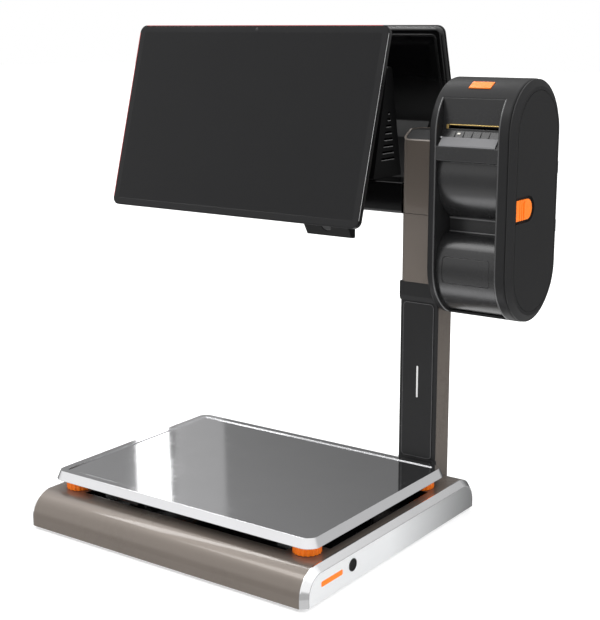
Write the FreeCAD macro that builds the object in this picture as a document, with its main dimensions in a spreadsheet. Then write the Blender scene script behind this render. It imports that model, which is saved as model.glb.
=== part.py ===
"""Countertop self checkout kiosk: a scale base, a column, two tilting displays and a label printer.

Sizes are in millimetres. Everything is laid out about the centre of the scale base, with X to the right,
Y to the back and Z up from the counter. The frame's origin is the bottom centre of the whole kiosk, so each
sub-part's Placement carries the step from the base's centre to that origin.
"""

import FreeCAD, Part
import Sketcher

import math
import os
import re

DRIVING = {
    # scale base
    "base_width": 410, "base_depth": 369, "base_height": 39.6, "base_round": 29, "base_wall": 2.4,
    "end_cap_width": 8, "end_cap_bevel": 6.5, "end_cap_groove": 0.5, "side_panel_sink": 1,
    "base_plate_thickness": 2, "foot_height": 4, "foot_radius": 14, "foot_inset": 34, "fit_gap": 0.3,
    "port_radius": 4.5, "port_inset": 14, "port_height": 10, "screw_radius": 1.6, "screw_head_radius": 3.2,
    "screw_head_height": 2, "screw_length": 16,
    # recess in the base's top
    "recess_half_width": 187, "recess_front": 143, "recess_back": 119, "pad_half_width": 150,
    "pad_front": 112, "pad_back": 98, "recess_depth": 14, "liner_wall": 1.6, "post_hole_radius": 16,
    # weighing parts
    "cell_length": 130, "cell_width": 24, "cell_height": 12, "cell_block": 26, "cell_block_height": 4,
    "post_radius": 12, "platform_thickness": 5, "platform_bar": 34, "platform_reach_x": 140,
    "platform_reach_y": 88, "buffer_radius": 9, "platform_gap": 3,
    "tray_width": 378, "tray_depth": 281, "tray_shift": 10.9, "tray_top_height": 67.4, "tray_skirt": 10.5,
    "tray_flare": 4.5, "tray_sheet": 1.2, "tray_corner": 12, "tray_rim": 9, "tray_step": 1,
    # thumb wheels between the base and the tray
    "knob_x": 170, "knob_front": 131.4, "knob_back": 109.6, "knob_radius": 16, "knob_height": 14,
    "knob_teeth": 18, "knob_notch": 2, "stud_radius": 4, "stud_gap": 0.05, "stud_proud": 3,
    # power button and connectors
    "button_y": 94.5, "button_height": 23.4, "button_radius": 6.2, "button_ring": 7.2, "button_depth": 7,
    "button_gap": 0.15, "inlet_x": 120, "inlet_width": 27, "port_panel_width": 120,
    "port_panel_height": 15, "port_panel_thickness": 2,
    # column
    "column_left": 119.5, "column_right": 171, "column_front": 142, "column_back": 176.7,
    "column_top": 273.1, "column_wall": 2.5, "column_corner": 5, "cover_thickness": 3, "inlay_inset": 4.5,
    "inlay_thickness": 1, "inlay_bottom": 69, "inlay_corner": 5, "collar_height": 24, "collar_flare": 4,
    # head of the column
    "head_left": 118.9, "head_right": 175.8, "head_front": 135.9, "head_back": 182.8, "head_bottom": 273.1,
    "head_collar_height": 17.3, "head_collar_slope": 6, "head_seam": 373.6, "head_seam_gap": 0.6,
    "head_top_front": 461, "head_top": 473.1, "head_crest": 156.4, "head_corner": 9.1, "head_wall": 2.5,
    "head_cap_sink": 1,
    # arm, hub and camera
    "arm_left": -136, "arm_bottom": 371.6, "arm_top": 410.2, "arm_front": 138.1, "arm_back": 186.9,
    "arm_wall": 3,
    "arm_round": 5, "hub_right": 78.3, "hub_front": 138.6, "hub_back": 203.1, "hub_apex": 173.7,
    "hub_top": 544.9, "hub_top_width": 9, "hub_wall": 2.5, "vent_pitch": 8, "vent_count": 13,
    "vent_height": 2.4, "vent_margin": 12, "vent_start": 22, "vent_depth": 3, "board_thickness": 1.6,
    "board_margin": 14,
    "camera_left": -25.3, "camera_right": 44.8, "camera_front": 129, "camera_back": 150.3,
    "camera_bottom": 334, "camera_lip": 359.4, "camera_nose": 144.2, "lens_radius": 7, "lens_depth": 4,
    # displays
    "display_centre_x": -64.9, "display_width": 381.8, "display_height": 236.2, "glass_thickness": 2.2,
    "display_corner": 9.6, "display_edge": 10, "display_wall": 2.2, "display_tilt": 16.1,
    "front_top_y": 96.1, "rear_top_y": 222.4, "display_top": 594.3, "lcd_width": 356, "lcd_height": 208,
    "lcd_thickness": 4, "bulge_width": 316, "bulge_low": 12, "bulge_high": 108, "bulge_depth": 18,
    "bulge_slope": 9, "hinge_along": 130, "hinge_depth": 24, "hinge_radius": 5, "hinge_bore_gap": 0.05,
    "hinge_pin_radius": 2.5, "hinge_knuckle": 22, "hinge_side_gap": 0.4, "hinge_width": 90,
    # printer pod
    "pod_left": 176.2, "pod_right": 276.3, "pod_radius": 64, "pod_y": 165.2, "pod_low": 318.8,
    "pod_high": 471.6, "pod_wall": 3, "pod_flange": 9, "rim_left": 8.7, "rim_right": 12.2, "web": 2.5,
    "pod_edge_round": 2.5, "window_back": 146.2, "crease": 513.8, "panel_sheet": 2.5, "panel_gap": 0.15,
    "bulge_radius": 58.1, "lower_bulge": 316.8, "upper_bulge": 425.4, "shoulder_z": 341.1,
    "shoulder_radius": 28.1, "waist_y": 138.6, "waist_z": 357.4, "step_z": 441.7, "step_slope": 2,
    "ledge_z": 459.4, "ledge_y": 110.6, "ledge_top": 468.7, "throat_y": 116.8, "throat_z": 476.7,
    "slot_left": 192, "slot_right": 257, "slot_z": 479.2, "slot_height": 4.6, "peel_thickness": 1.4,
    "peel_left": 189, "peel_right": 260.1, "window_left": 193, "window_right": 254, "window_low": 300.5,
    "window_high": 332, "window_thickness": 1,
    # printer works
    "platen_y": 129.5, "platen_z": 472.1, "platen_radius": 6.5, "shaft_radius": 2, "shaft_gap": 0.05,
    "frame_sheet": 1.6, "frame_left": 187, "frame_right": 260.6, "frame_back": 152.3, "frame_low": 465,
    "frame_high": 497.5, "head_block_depth": 14, "head_block_height": 6, "gear_width": 3,
    "platen_gear_radius": 8, "motor_gear_radius": 5, "gear_gap": 0.4,
    "motor_z": 472.1, "roll_radius": 46, "roll_core": 13, "roll_left": 189, "roll_right": 251.9,
    "spindle_radius": 12.7, "spool_radius": 34, "spool_core": 13,
    # printer door, latch and feed button
    "door_gap": 0.5, "door_thickness": 5.5, "door_radius": 63.5, "door_bevel_out": 8, "door_bevel_in": 4,
    "door_groove_radius": 51.2, "door_groove": 0.8, "door_hinge_out": 2.9, "door_hinge_x": 271.5,
    "knuckle_radius": 2.3, "knuckle_length": 14, "knuckle_gap": 0.4, "pin_radius": 1,
    "leaf_length": 12, "leaf_sheet": 1.3, "leaf_gap": 0.6,
    "latch_z": 390.4, "latch_front": 114.8, "latch_end": 142.7, "latch_radius": 11.7, "latch_travel": 6,
    "latch_clear": 3.5, "latch_sink": 3.2, "bolt_width": 9, "bolt_thickness": 1.8, "bolt_reach": 5,
    "strike_wall": 2, "bolt_gap": 0.4,
    "feed_x": 224.5, "feed_width": 27.4, "feed_depth": 13.2, "feed_angle": 28.6, "feed_proud": 0.5,
    "feed_height": 5, "feed_gap": 0.35,
}

DERIVED = {
    "frame_x": "-(display_left + door_face) / 2",
    "frame_y": "-(rear_bottom_y + display_edge_y - base_depth / 2) / 2",
    "base_top": "foot_height + base_height",
    "base_front": "base_depth / 2",
    "shell_end": "base_width / 2 - end_cap_width",
    "plate_top": "foot_height + base_plate_thickness",
    "liner_floor": "base_top - recess_depth",
    "cell_bottom": "plate_top + cell_block_height",
    "cell_top": "cell_bottom + cell_height",
    "platform_bottom": "liner_floor + liner_wall + platform_gap",
    "platform_top": "platform_bottom + platform_thickness",
    "tray_underside": "tray_top_height - tray_step - tray_sheet",
    "display_left": "display_centre_x - display_width / 2",
    "door_inner": "pod_right + door_gap",
    "door_face": "door_inner + door_thickness",
    "bolt_right": "pod_right - strike_wall - bolt_gap",
    "front_bottom_y": "front_top_y - display_height * sin(display_tilt)",
    "rear_bottom_y": "rear_top_y + display_height * sin(display_tilt)",
    "display_bottom": "display_top - display_height * cos(display_tilt)",
    "display_edge_y": "0",
    "pod_front": "pod_y - pod_radius",
    "door_hinge_y": "pod_y + pod_radius + door_hinge_out",
    "panel_left": "pod_left + rim_left",
    "panel_right": "pod_right - rim_right",
}

doc = FreeCAD.newDocument("kiosk")
sheet = doc.addObject("Spreadsheet::Sheet", "dims")
finished = []


def fill_sheet():
    """Writes each driving dimension into the sheet, with its alias."""
    for row, (name, size) in enumerate(DRIVING.items(), start=1):
        sheet.set("A%d" % row, name)
        sheet.set("B%d" % row, str(size))
        sheet.setAlias("B%d" % row, name)
    doc.recompute()


def formula(text):
    """Turns a formula of plain names into one that the sheet's cells drive."""

    def swap(match):
        name = match.group(0)
        if name in DERIVED:
            return "(" + formula(DERIVED[name]) + ")"
        if name in DRIVING:
            return "dims." + name
        return name

    return re.sub(r"[a-z][a-z_0-9]*", swap, str(text))


def number(text):
    """The value that a formula has now."""
    return float(sheet.evalExpression(formula(text)))


def bind(thing, path, text):
    thing.setExpression(path, formula(text))


def place(thing, x, y, z, framed):
    """Puts a piece at formulas measured from the base's centre, or, once finished, at the frame's place."""
    bind(thing, "Placement.Base.x", "%s + frame_x" % x if framed else x)
    bind(thing, "Placement.Base.y", "%s + frame_y" % y if framed else y)
    bind(thing, "Placement.Base.z", z)


def finish(thing, label):
    """Names a sub-part and keeps it for the checks and the export."""
    thing.Label = label
    finished.append(thing)
    return thing


# ---------------------------------------------------------------- building blocks

AXIS_PLANES = {"X": "YZ_Plane", "Y": "XZ_Plane", "Z": "XY_Plane"}


def new_body(name, framed=True):
    body = doc.addObject("PartDesign::Body", name)
    if framed:
        place(body, "0", "0", "0", True)
    return body


def new_sketch(body, axis, level):
    """A sketch on one of the body's own planes, moved along its axis to a level."""
    sketch = body.newObject("Sketcher::SketchObject", body.Name + "_sketch")
    plane = next(p for p in body.Origin.OriginFeatures if p.Role == AXIS_PLANES[axis])
    sketch.AttachmentSupport = [(plane, "")]
    sketch.MapMode = "FlatFace"
    bind(sketch, "AttachmentOffset.Base.z", "-(%s)" % level if axis == "Y" else level)
    return sketch


def constrain(sketch, constraint, text):
    index = sketch.addConstraint(constraint)
    bind(sketch, "Constraints[%d]" % index, text)


def tie_point(sketch, geometry, end, u, v):
    """Ties a point of a sketch to the sheet, whichever side of the origin it is on."""
    for kind, text in (("DistanceX", u), ("DistanceY", v)):
        size = number(text)
        if abs(size) < 1e-9:
            axis_line = -2 if kind == "DistanceX" else -1
            sketch.addConstraint(Sketcher.Constraint("PointOnObject", geometry, end, axis_line))
        elif size > 0:
            constrain(sketch, Sketcher.Constraint(kind, -1, 1, geometry, end, size), text)
        else:
            flipped = "-(%s)" % text
            constrain(sketch, Sketcher.Constraint(kind, geometry, end, -1, 1, -size), flipped)


def arc_between(start, end, radius, clockwise):
    """The short arc of a radius from one point to the next, drawn anticlockwise as sketches want it."""
    chord = end - start
    half = chord.Length / 2
    middle = (start + end) / 2
    side = FreeCAD.Vector(-chord.y, chord.x, 0).normalize()
    turn = 1 if clockwise else -1
    sagitta = radius - math.sqrt(max(radius ** 2 - half ** 2, 0))
    through = middle + side * (turn * sagitta)
    if clockwise:
        return Part.Arc(end, through, start)
    return Part.Arc(start, through, end)


def draw_outline(sketch, corners):
    """Draws a closed outline. A corner is (u, v), or (u, v, radius, way) where an arc leads to the next."""
    points = [FreeCAD.Vector(number(corner[0]), number(corner[1]), 0) for corner in corners]
    first = sketch.GeometryCount
    ends = []
    for index, corner in enumerate(corners):
        start = points[index]
        end = points[(index + 1) % len(points)]
        if len(corner) == 2:
            sketch.addGeometry(Part.LineSegment(start, end), False)
            ends.append((1, 2))
        else:
            clockwise = corner[3] == "clockwise"
            sketch.addGeometry(arc_between(start, end, number(corner[2]), clockwise), False)
            ends.append((2, 1) if clockwise else (1, 2))
    for index, corner in enumerate(corners):
        after = (index + 1) % len(corners)
        joint = (first + index, ends[index][1], first + after, ends[after][0])
        sketch.addConstraint(Sketcher.Constraint("Coincident", *joint))
    for index, corner in enumerate(corners):
        tie_point(sketch, first + index, ends[index][0], corner[0], corner[1])
        if len(corner) == 4:
            radius = Sketcher.Constraint("Radius", first + index, number(corner[2]))
            constrain(sketch, radius, corner[2])


def draw_circle(sketch, u, v, radius):
    centre = FreeCAD.Vector(number(u), number(v), 0)
    circle = sketch.addGeometry(Part.Circle(centre, FreeCAD.Vector(0, 0, 1), number(radius)), False)
    tie_point(sketch, circle, 3, u, v)
    constrain(sketch, Sketcher.Constraint("Radius", circle, number(radius)), radius)


def pad(body, axis, low, high, *outlines):
    """Adds a slab along an axis. An outline is a list of corners or a (u, v, radius) circle."""
    sketch = new_sketch(body, axis, high if axis == "Y" else low)
    for outline in outlines:
        if isinstance(outline, tuple):
            draw_circle(sketch, *outline)
        else:
            draw_outline(sketch, outline)
    feature = body.newObject("PartDesign::Pad", body.Name + "_pad")
    feature.Profile = sketch
    bind(feature, "Length", "(%s) - (%s)" % (high, low))
    doc.recompute()
    return feature


def pocket(body, axis, low, high, *outlines):
    """Cuts a slab from low to high along an axis, and makes sure that it removed something."""
    before = body.Shape.Volume
    sketch = new_sketch(body, axis, low if axis == "Y" else high)
    for outline in outlines:
        if isinstance(outline, tuple):
            draw_circle(sketch, *outline)
        else:
            draw_outline(sketch, outline)
    feature = body.newObject("PartDesign::Pocket", body.Name + "_pocket")
    feature.Profile = sketch
    bind(feature, "Length", "(%s) - (%s)" % (high, low))
    doc.recompute()
    if body.Shape.Volume > before - 1e-6:
        raise RuntimeError("%s: a pocket removed nothing" % body.Name)
    return feature


def edges_where(body, test):
    """Names of the edges of a body's tip whose end points and middle all pass a test."""
    shape = body.Tip.Shape
    names = []
    for index, edge in enumerate(shape.Edges, start=1):
        middle = edge.valueAt((edge.FirstParameter + edge.LastParameter) / 2)
        points = [vertex.Point for vertex in edge.Vertexes] + [middle]
        if all(test(point) for point in points):
            names.append("Edge%d" % index)
    return names


def soften(body, radius, test, kind="Fillet"):
    """Fillets or chamfers the edges that pass a test."""
    names = edges_where(body, test)
    if not names:
        raise RuntimeError("%s: no edge to soften" % body.Name)
    base = body.Tip
    feature = body.newObject("PartDesign::" + kind, body.Name + "_" + kind.lower())
    feature.Base = (base, names)
    bind(feature, "Radius" if kind == "Fillet" else "Size", radius)
    doc.recompute()
    return feature


def near(value, text, slack=0.01):
    return abs(value - number(text)) < slack


def rectangle(u_low, u_high, v_low, v_high):
    return [(u_low, v_low), (u_high, v_low), (u_high, v_high), (u_low, v_high)]


def rounded(u_low, u_high, v_low, v_high, radius):
    """A rectangle with round corners."""
    r = "(%s)" % radius
    way = "anticlockwise"
    return [
        ("%s + %s" % (u_low, r), v_low), ("%s - %s" % (u_high, r), v_low, r, way),
        (u_high, "%s + %s" % (v_low, r)), (u_high, "%s - %s" % (v_high, r), r, way),
        ("%s - %s" % (u_high, r), v_high), ("%s + %s" % (u_low, r), v_high, r, way),
        (u_low, "%s - %s" % (v_high, r)), (u_low, "%s + %s" % (v_low, r), r, way),
    ]


def obround(radius):
    """The printer pod's upright outline, in Y and Z, at a radius about its two centres."""
    left = "pod_y - (%s)" % radius
    right = "pod_y + (%s)" % radius
    top = "pod_high + (%s)" % radius
    bottom = "pod_low - (%s)" % radius
    way = "anticlockwise"
    return [
        (right, "pod_low"), (right, "pod_high", radius, way), ("pod_y", top, radius, way),
        (left, "pod_high"), (left, "pod_low", radius, way), ("pod_y", bottom, radius, way),
    ]


def box(name, x, y, z, framed=False):
    """A box between pairs of formulas along X, Y and Z."""
    thing = doc.addObject("Part::Box", name)
    for path, (low, high) in zip(("Length", "Width", "Height"), (x, y, z)):
        bind(thing, path, "(%s) - (%s)" % (high, low))
    place(thing, x[0], y[0], z[0], framed)
    return thing


ROD_TURNS = {
    "X": FreeCAD.Rotation(FreeCAD.Vector(0, 1, 0), 90),
    "Y": FreeCAD.Rotation(FreeCAD.Vector(1, 0, 0), -90),
    "Z": FreeCAD.Rotation(),
}


def rod(name, axis, start, radius, length, framed=False):
    """A cylinder from a start point along an axis."""
    thing = doc.addObject("Part::Cylinder", name)
    bind(thing, "Radius", radius)
    bind(thing, "Height", length)
    thing.Placement.Rotation = ROD_TURNS[axis]
    place(thing, *start, framed)
    return thing


def merge(name, pieces, framed=False):
    if len(pieces) == 1 and not framed:
        return pieces[0]
    thing = doc.addObject("Part::MultiFuse", name)
    thing.Shapes = pieces
    if framed:
        place(thing, "0", "0", "0", True)
    return thing


def group(name, pieces, framed=False):
    """Separate solids kept side by side in one sub-part."""
    thing = doc.addObject("Part::Compound", name)
    thing.Links = pieces
    if framed:
        place(thing, "0", "0", "0", True)
    return thing


def cut(name, base, tools, framed=False):
    thing = doc.addObject("Part::Cut", name)
    thing.Base = base
    thing.Tool = merge(name + "_tools", tools)
    if framed:
        place(thing, "0", "0", "0", True)
    return thing


def common(name, base, tool, framed=False):
    thing = doc.addObject("Part::Common", name)
    thing.Base = base
    thing.Tool = tool
    if framed:
        place(thing, "0", "0", "0", True)
    return thing


def slab(name, axis, low, high, *outlines):
    """A plain slab, for use as a tool."""
    body = new_body(name, framed=False)
    pad(body, axis, low, high, *outlines)
    return body


# ---------------------------------------------------------------- scale base


def base_outline(inset, round_inset):
    """The base's section in Y and Z: flat below, with its two upper corners rounded."""
    radius = "base_round - %s" % round_inset
    edge = "base_front - %s" % inset
    top = "base_top - %s" % inset
    way = "anticlockwise"
    shoulder = "%s - (%s)" % (top, radius)
    flat = "%s - (%s)" % (edge, radius)
    return radius, edge, top, way, shoulder, flat


def base_section(inset, bottom):
    """The closed outline of the base's section, moved inwards by an inset."""
    radius, edge, top, way, shoulder, flat = base_outline(inset, inset)
    return [
        ("-(%s)" % edge, bottom), (edge, bottom),
        (edge, shoulder, radius, way), (flat, top),
        ("-(%s)" % flat, top, radius, way), ("-(%s)" % edge, shoulder),
    ]


def recess_outline(inset):
    """The cross-shaped opening in the base's top, in X and Y, moved inwards by an inset."""
    far = "recess_half_width - %s" % inset
    near_x = "pad_half_width - %s" % inset
    front = "-(recess_front - %s)" % inset
    front_step = "-(pad_front - %s)" % inset
    back = "recess_back - %s" % inset
    back_step = "pad_back - %s" % inset
    return [
        ("-(%s)" % near_x, front), (near_x, front), (near_x, front_step), (far, front_step),
        (far, back_step), (near_x, back_step), (near_x, back), ("-(%s)" % near_x, back),
        ("-(%s)" % near_x, back_step), ("-(%s)" % far, back_step), ("-(%s)" % far, front_step),
        ("-(%s)" % near_x, front_step),
    ]


def port_places():
    """The screw ports along the base, as (sign of Y, Y formula)."""
    return [(sign, "%d * (base_front - port_inset)" % sign) for sign in (-1, 1)]


def base_shell():
    body = new_body("base_shell_body", framed=False)
    pad(body, "X", "-shell_end", "shell_end", base_section("0", "foot_height"))
    pocket(body, "X", "-shell_end", "shell_end", base_section("base_wall", "foot_height"))
    pocket(body, "Z", "base_top - base_wall - 1", "base_top + 1", recess_outline("0"))
    ports = []
    bores = []
    height = "foot_height + port_height"
    for index, (sign, y) in enumerate(port_places()):
        start = ("-shell_end", y, height)
        ports.append(rod("port_%d" % index, "X", start, "port_radius", "2 * shell_end"))
        wall = "%d * (base_front - base_wall / 2)" % sign
        low, high = (wall, y) if sign < 0 else (y, wall)
        rib_z = ("%s - base_wall / 2" % height, "%s + base_wall / 2" % height)
        ports.append(box("port_rib_%d" % index, ("-shell_end", "shell_end"), (low, high), rib_z))
        bores.append(rod("port_bore_%d" % index, "X", start, "screw_radius", "2 * shell_end"))
    solid = merge("base_shell_ports", [body] + ports)
    rear = slab(
        "connector_window", "Y", "base_front - base_wall - 1", "base_front + 1",
        rectangle("inlet_x - port_panel_width - fit_gap", "inlet_x + fit_gap",
                  "plate_top + 1", "plate_top + 1 + port_panel_height + 2 * fit_gap"),
    )
    clear = box(
        "connector_rib_gap", ("inlet_x - port_panel_width - 2", "inlet_x + 2"),
        ("base_front - port_inset - 8", "base_front - base_wall"),
        ("foot_height", "plate_top + port_panel_height + 4"),
    )
    finish(cut("base_shell", solid, bores + [rear, clear], True), "base_shell")


def base_plate():
    body = new_body("base_plate")
    edge = "base_front - base_wall - fit_gap"
    outline = rectangle("-shell_end + fit_gap", "shell_end - fit_gap", "-(%s)" % edge, edge)
    pad(body, "Z", "foot_height", "plate_top", outline)
    soften(body, "2", lambda p: abs(abs(p.x) - number("shell_end - fit_gap")) < 0.01
           and abs(abs(p.y) - number(edge)) < 0.01)
    holes = [(x, y, "screw_radius + 0.4") for x in ("-120", "120") for y in ("-100", "100")]
    pocket(body, "Z", "foot_height - 1", "plate_top + 1", *holes)
    finish(body, "base_plate")


def base_feet():
    feet = []
    for x in ("-(base_width / 2 - foot_inset)", "base_width / 2 - foot_inset"):
        for y in ("-(base_front - foot_inset)", "base_front - foot_inset"):
            feet.append(rod("foot_%d" % len(feet), "Z", (x, y, "0"), "foot_radius", "foot_height"))
    finish(group("base_feet", feet, True), "base_feet")


def end_cap(side):
    """A bevelled chrome frame at one end of the base, with a shallow seat for the side panel."""
    sign = 1 if side == "right" else -1
    name = "end_cap_" + side
    inner = "shell_end"
    outer = "base_width / 2"
    low, high = (inner, outer) if sign > 0 else ("-(%s)" % outer, "-(%s)" % inner)
    seat = "base_width / 2 - side_panel_sink - 0.6"
    body = new_body(name + "_body", framed=False)
    pad(body, "X", low, high, base_section("0", "foot_height"))
    soften(body, "end_cap_bevel",
           lambda p: near(p.x, "%d * base_width / 2" % sign) and p.z > number("foot_height") + 0.01
           or near(p.x, "%d * base_width / 2" % sign) and near(abs(p.y), "base_front"), "Chamfer")
    inset = "(end_cap_bevel + 0.7)"
    seat_low, seat_high = (seat, "base_width / 2 + 1")
    if sign < 0:
        seat_low, seat_high = ("-(%s)" % seat_high, "-(%s)" % seat_low)
    pocket(body, "X", seat_low, seat_high, base_section(inset, "foot_height - 1"))
    tools = [
        rod(name + "_screw_%d" % index, "X", (low + " - 1", y, "foot_height + port_height"),
            "screw_radius + 0.2", "end_cap_width + 2")
        for index, (_, y) in enumerate(port_places())
    ]
    sink_low = "base_width / 2 - end_cap_width + 3" if sign > 0 else "-(base_width / 2)"
    for index, (_, y) in enumerate(port_places()):
        start = (sink_low, y, "foot_height + port_height")
        tools.append(rod(name + "_sink_%d" % index, "X", start, "screw_head_radius + 0.3",
                         "end_cap_width - 3"))
    if sign > 0:
        start = (low + " - 1", "-button_y", "button_height")
        tools.append(rod(name + "_button", "X", start, "button_ring + 0.1", "end_cap_width + 2"))
    finish(cut(name, body, tools, True), name)


def side_panel(side):
    """The flat plate that sits inside the bevelled frame and hides its screws."""
    sign = 1 if side == "right" else -1
    name = "side_panel_" + side
    inner = "base_width / 2 - side_panel_sink - 0.6"
    outer = "base_width / 2 - 0.6"
    low, high = (inner, outer) if sign > 0 else ("-(%s)" % outer, "-(%s)" % inner)
    body = new_body(name)
    pad(body, "X", low, high, base_section("(end_cap_bevel + 0.7 + end_cap_groove)", "foot_height"))
    if sign > 0:
        pocket(body, "X", low + " - 1", high + " + 1", ("-button_y", "button_height", "button_ring + 0.1"))
    finish(body, name)


def end_cap_screws():
    screws = []
    for sign in (-1, 1):
        for _, y in port_places():
            tag = len(screws)
            z = "foot_height + port_height"
            head_start = "base_width / 2 - end_cap_width + 3 + fit_gap"
            shank_start = "%s - screw_length" % head_start
            if sign < 0:
                shank_x = "-(%s)" % head_start
                head_x = "-(%s + screw_head_height)" % head_start
            else:
                shank_x = shank_start
                head_x = head_start
            shank = rod("cap_shank_%d" % tag, "X", (shank_x, y, z), "screw_radius - 0.05", "screw_length")
            head = rod("cap_head_%d" % tag, "X", (head_x, y, z), "screw_head_radius", "screw_head_height")
            screws.append(merge("cap_screw_%d" % tag, [shank, head]))
    finish(group("end_cap_screws", screws, True), "end_cap_screws")


def recess_liner():
    """The black pan under the tray, with a hole for the load cell's post."""
    body = new_body("recess_liner")
    pad(body, "Z", "liner_floor", "base_top - 0.8", recess_outline("fit_gap"))
    pocket(body, "Z", "liner_floor + liner_wall", "base_top", recess_outline("(fit_gap + liner_wall)"))
    centre_y = "-tray_shift"
    post_x = "cell_length / 2 - cell_block / 2"
    pocket(body, "Z", "liner_floor - 1", "liner_floor + liner_wall + 1",
           (post_x, centre_y, "post_hole_radius"))
    finish(body, "recess_liner")


def load_cell():
    """A single point load cell: an aluminium bar with its binocular cut-out, on a foot block."""
    y = ("-tray_shift - cell_width / 2", "-tray_shift + cell_width / 2")
    foot_x = ("-cell_length / 2", "-cell_length / 2 + cell_block")
    foot = box("load_cell_foot", foot_x, y, ("plate_top", "cell_bottom"), True)
    finish(foot, "load_cell_foot")
    bar = box("cell_bar", ("-cell_length / 2", "cell_length / 2"), y, ("cell_bottom", "cell_top"))
    holes = [
        rod("cell_hole_%s" % tag, "Y", (x, y[0] + " - 1", "cell_bottom + cell_height / 2"),
            "cell_height / 3", "cell_width + 2")
        for tag, x in (("left", "-14"), ("right", "14"))
    ]
    slot = box("cell_slot", ("-14", "14"), (y[0] + " - 1", y[1] + " + 1"),
               ("cell_bottom + cell_height / 2 - 1", "cell_bottom + cell_height / 2 + 1"))
    finish(cut("load_cell", bar, holes + [slot], True), "load_cell")


def weigh_platform():
    """The cross-shaped carrier on the load cell's free end, with four rubber buffers under the tray."""
    body = new_body("weigh_platform_body", framed=False)
    half = "platform_bar / 2"
    y = "-tray_shift"
    long_bar = rectangle("-platform_reach_x", "platform_reach_x", "%s - %s" % (y, half),
                         "%s + %s" % (y, half))
    pad(body, "Z", "platform_bottom", "platform_top", long_bar)
    arms = []
    for index, x in enumerate(("-platform_reach_x", "platform_reach_x - platform_bar")):
        arms.append(box("platform_arm_%d" % index, (x, "%s + platform_bar" % x),
                        ("%s - platform_reach_y" % y, "%s + platform_reach_y" % y),
                        ("platform_bottom", "platform_top")))
    post_x = "cell_length / 2 - cell_block / 2"
    arms.append(rod("platform_post", "Z", (post_x, y, "cell_top + 0.4"), "post_radius",
                    "platform_bottom - cell_top"))
    buffers = []
    for x in ("-(platform_reach_x - half_bar)", "platform_reach_x - half_bar"):
        for sign in (-1, 1):
            place_x = x.replace("half_bar", "platform_bar / 2")
            place_y = "%s + %d * (platform_reach_y - platform_bar / 2)" % (y, sign)
            start = (place_x, place_y, "platform_top")
            buffers.append(rod("buffer_%d" % len(buffers), "Z", start, "buffer_radius",
                               "tray_underside - platform_top"))
    finish(merge("weigh_platform", [body] + arms, True), "weigh_platform")
    finish(group("platform_buffers", buffers, True), "platform_buffers")


def tray():
    """The stainless weighing tray: a raised rim, a slightly lower panel and skirts that flare outwards."""

    def outline(inset, spread):
        grow = "(%s) - (%s)" % (spread, inset)
        return rounded("-tray_width / 2 - (%s)" % grow, "tray_width / 2 + (%s)" % grow,
                       "-tray_shift - tray_depth / 2 - (%s)" % grow,
                       "-tray_shift + tray_depth / 2 + (%s)" % grow, "tray_corner + (%s)" % grow)

    body = new_body("tray")
    for kind, inset, drop in (("AdditiveLoft", "0", "0"), ("SubtractiveLoft", "tray_sheet", "1")):
        top = "tray_top_height" if inset == "0" else "tray_underside"
        upper = new_sketch(body, "Z", top)
        draw_outline(upper, outline(inset, "0" if inset == "0" else "tray_flare * 0.15"))
        lower = new_sketch(body, "Z", "tray_top_height - tray_skirt - %s" % drop)
        draw_outline(lower, outline(inset, "tray_flare"))
        loft = body.newObject("PartDesign::" + kind, "tray_" + kind.lower())
        loft.Profile = upper
        loft.Sections = [lower]
        loft.Ruled = True
        doc.recompute()
    pocket(body, "Z", "tray_top_height - tray_step", "tray_top_height + 1", outline("tray_rim", "0"))
    finish(body, "tray")


def thumb_wheel(name, x, y):
    """A toothed wheel that turns on its stud to lift the tray off the load cell for transport."""
    body = doc.addObject("PartDesign::Body", name)
    pad(body, "Z", "0", "knob_height", ("0", "0", "knob_radius"))
    notch = pocket(body, "Z", "-1", "knob_height + 1", ("knob_radius + knob_notch * 0.5", "0", "knob_notch"))
    pattern = body.newObject("PartDesign::PolarPattern", name + "_teeth")
    pattern.Originals = [notch]
    axis = next(p for p in body.Origin.OriginFeatures if p.Role == "Z_Axis")
    pattern.Axis = (axis, [""])
    pattern.Angle = 360
    bind(pattern, "Occurrences", "knob_teeth")
    body.Tip = pattern
    doc.recompute()
    pocket(body, "Z", "-1", "stud_reach", ("0", "0", "stud_radius + stud_gap"))
    place(body, x, y, "base_top + fit_gap", True)
    finish(body, name)


def thumb_wheels():
    DERIVED["stud_reach"] = "knob_height - stud_proud"
    studs = []
    for side, x in (("left", "-knob_x"), ("right", "knob_x")):
        for row, y in (("front", "-knob_front"), ("rear", "knob_back")):
            thumb_wheel("knob_%s_%s" % (row, side), x, y)
            start = (x, y, "base_top")
            length = "knob_height - stud_proud - fit_gap"
            studs.append(rod("stud_%d" % len(studs), "Z", start, "stud_radius", length))
    finish(group("knob_studs", studs, True), "knob_studs")


def power_button():
    start = "shell_end - button_depth + 2"
    ring = rod("ring_outer", "X", (start, "-button_y", "button_height"), "button_ring",
               "base_width / 2 - (%s)" % start)
    hole = rod("ring_hole", "X", ("%s + 2" % start, "-button_y", "button_height"),
               "button_radius + button_gap", "end_cap_width + button_depth")
    finish(cut("power_button_socket", ring, [hole], True), "power_button_socket")
    body = new_body("power_button")
    pad(body, "X", "%s + 4.5" % start, "base_width / 2 - 0.4",
        ("-button_y", "button_height", "button_radius"))
    soften(body, "0.6", lambda p: near(p.x, "base_width / 2 - 0.4"))
    finish(body, "power_button")


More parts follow.
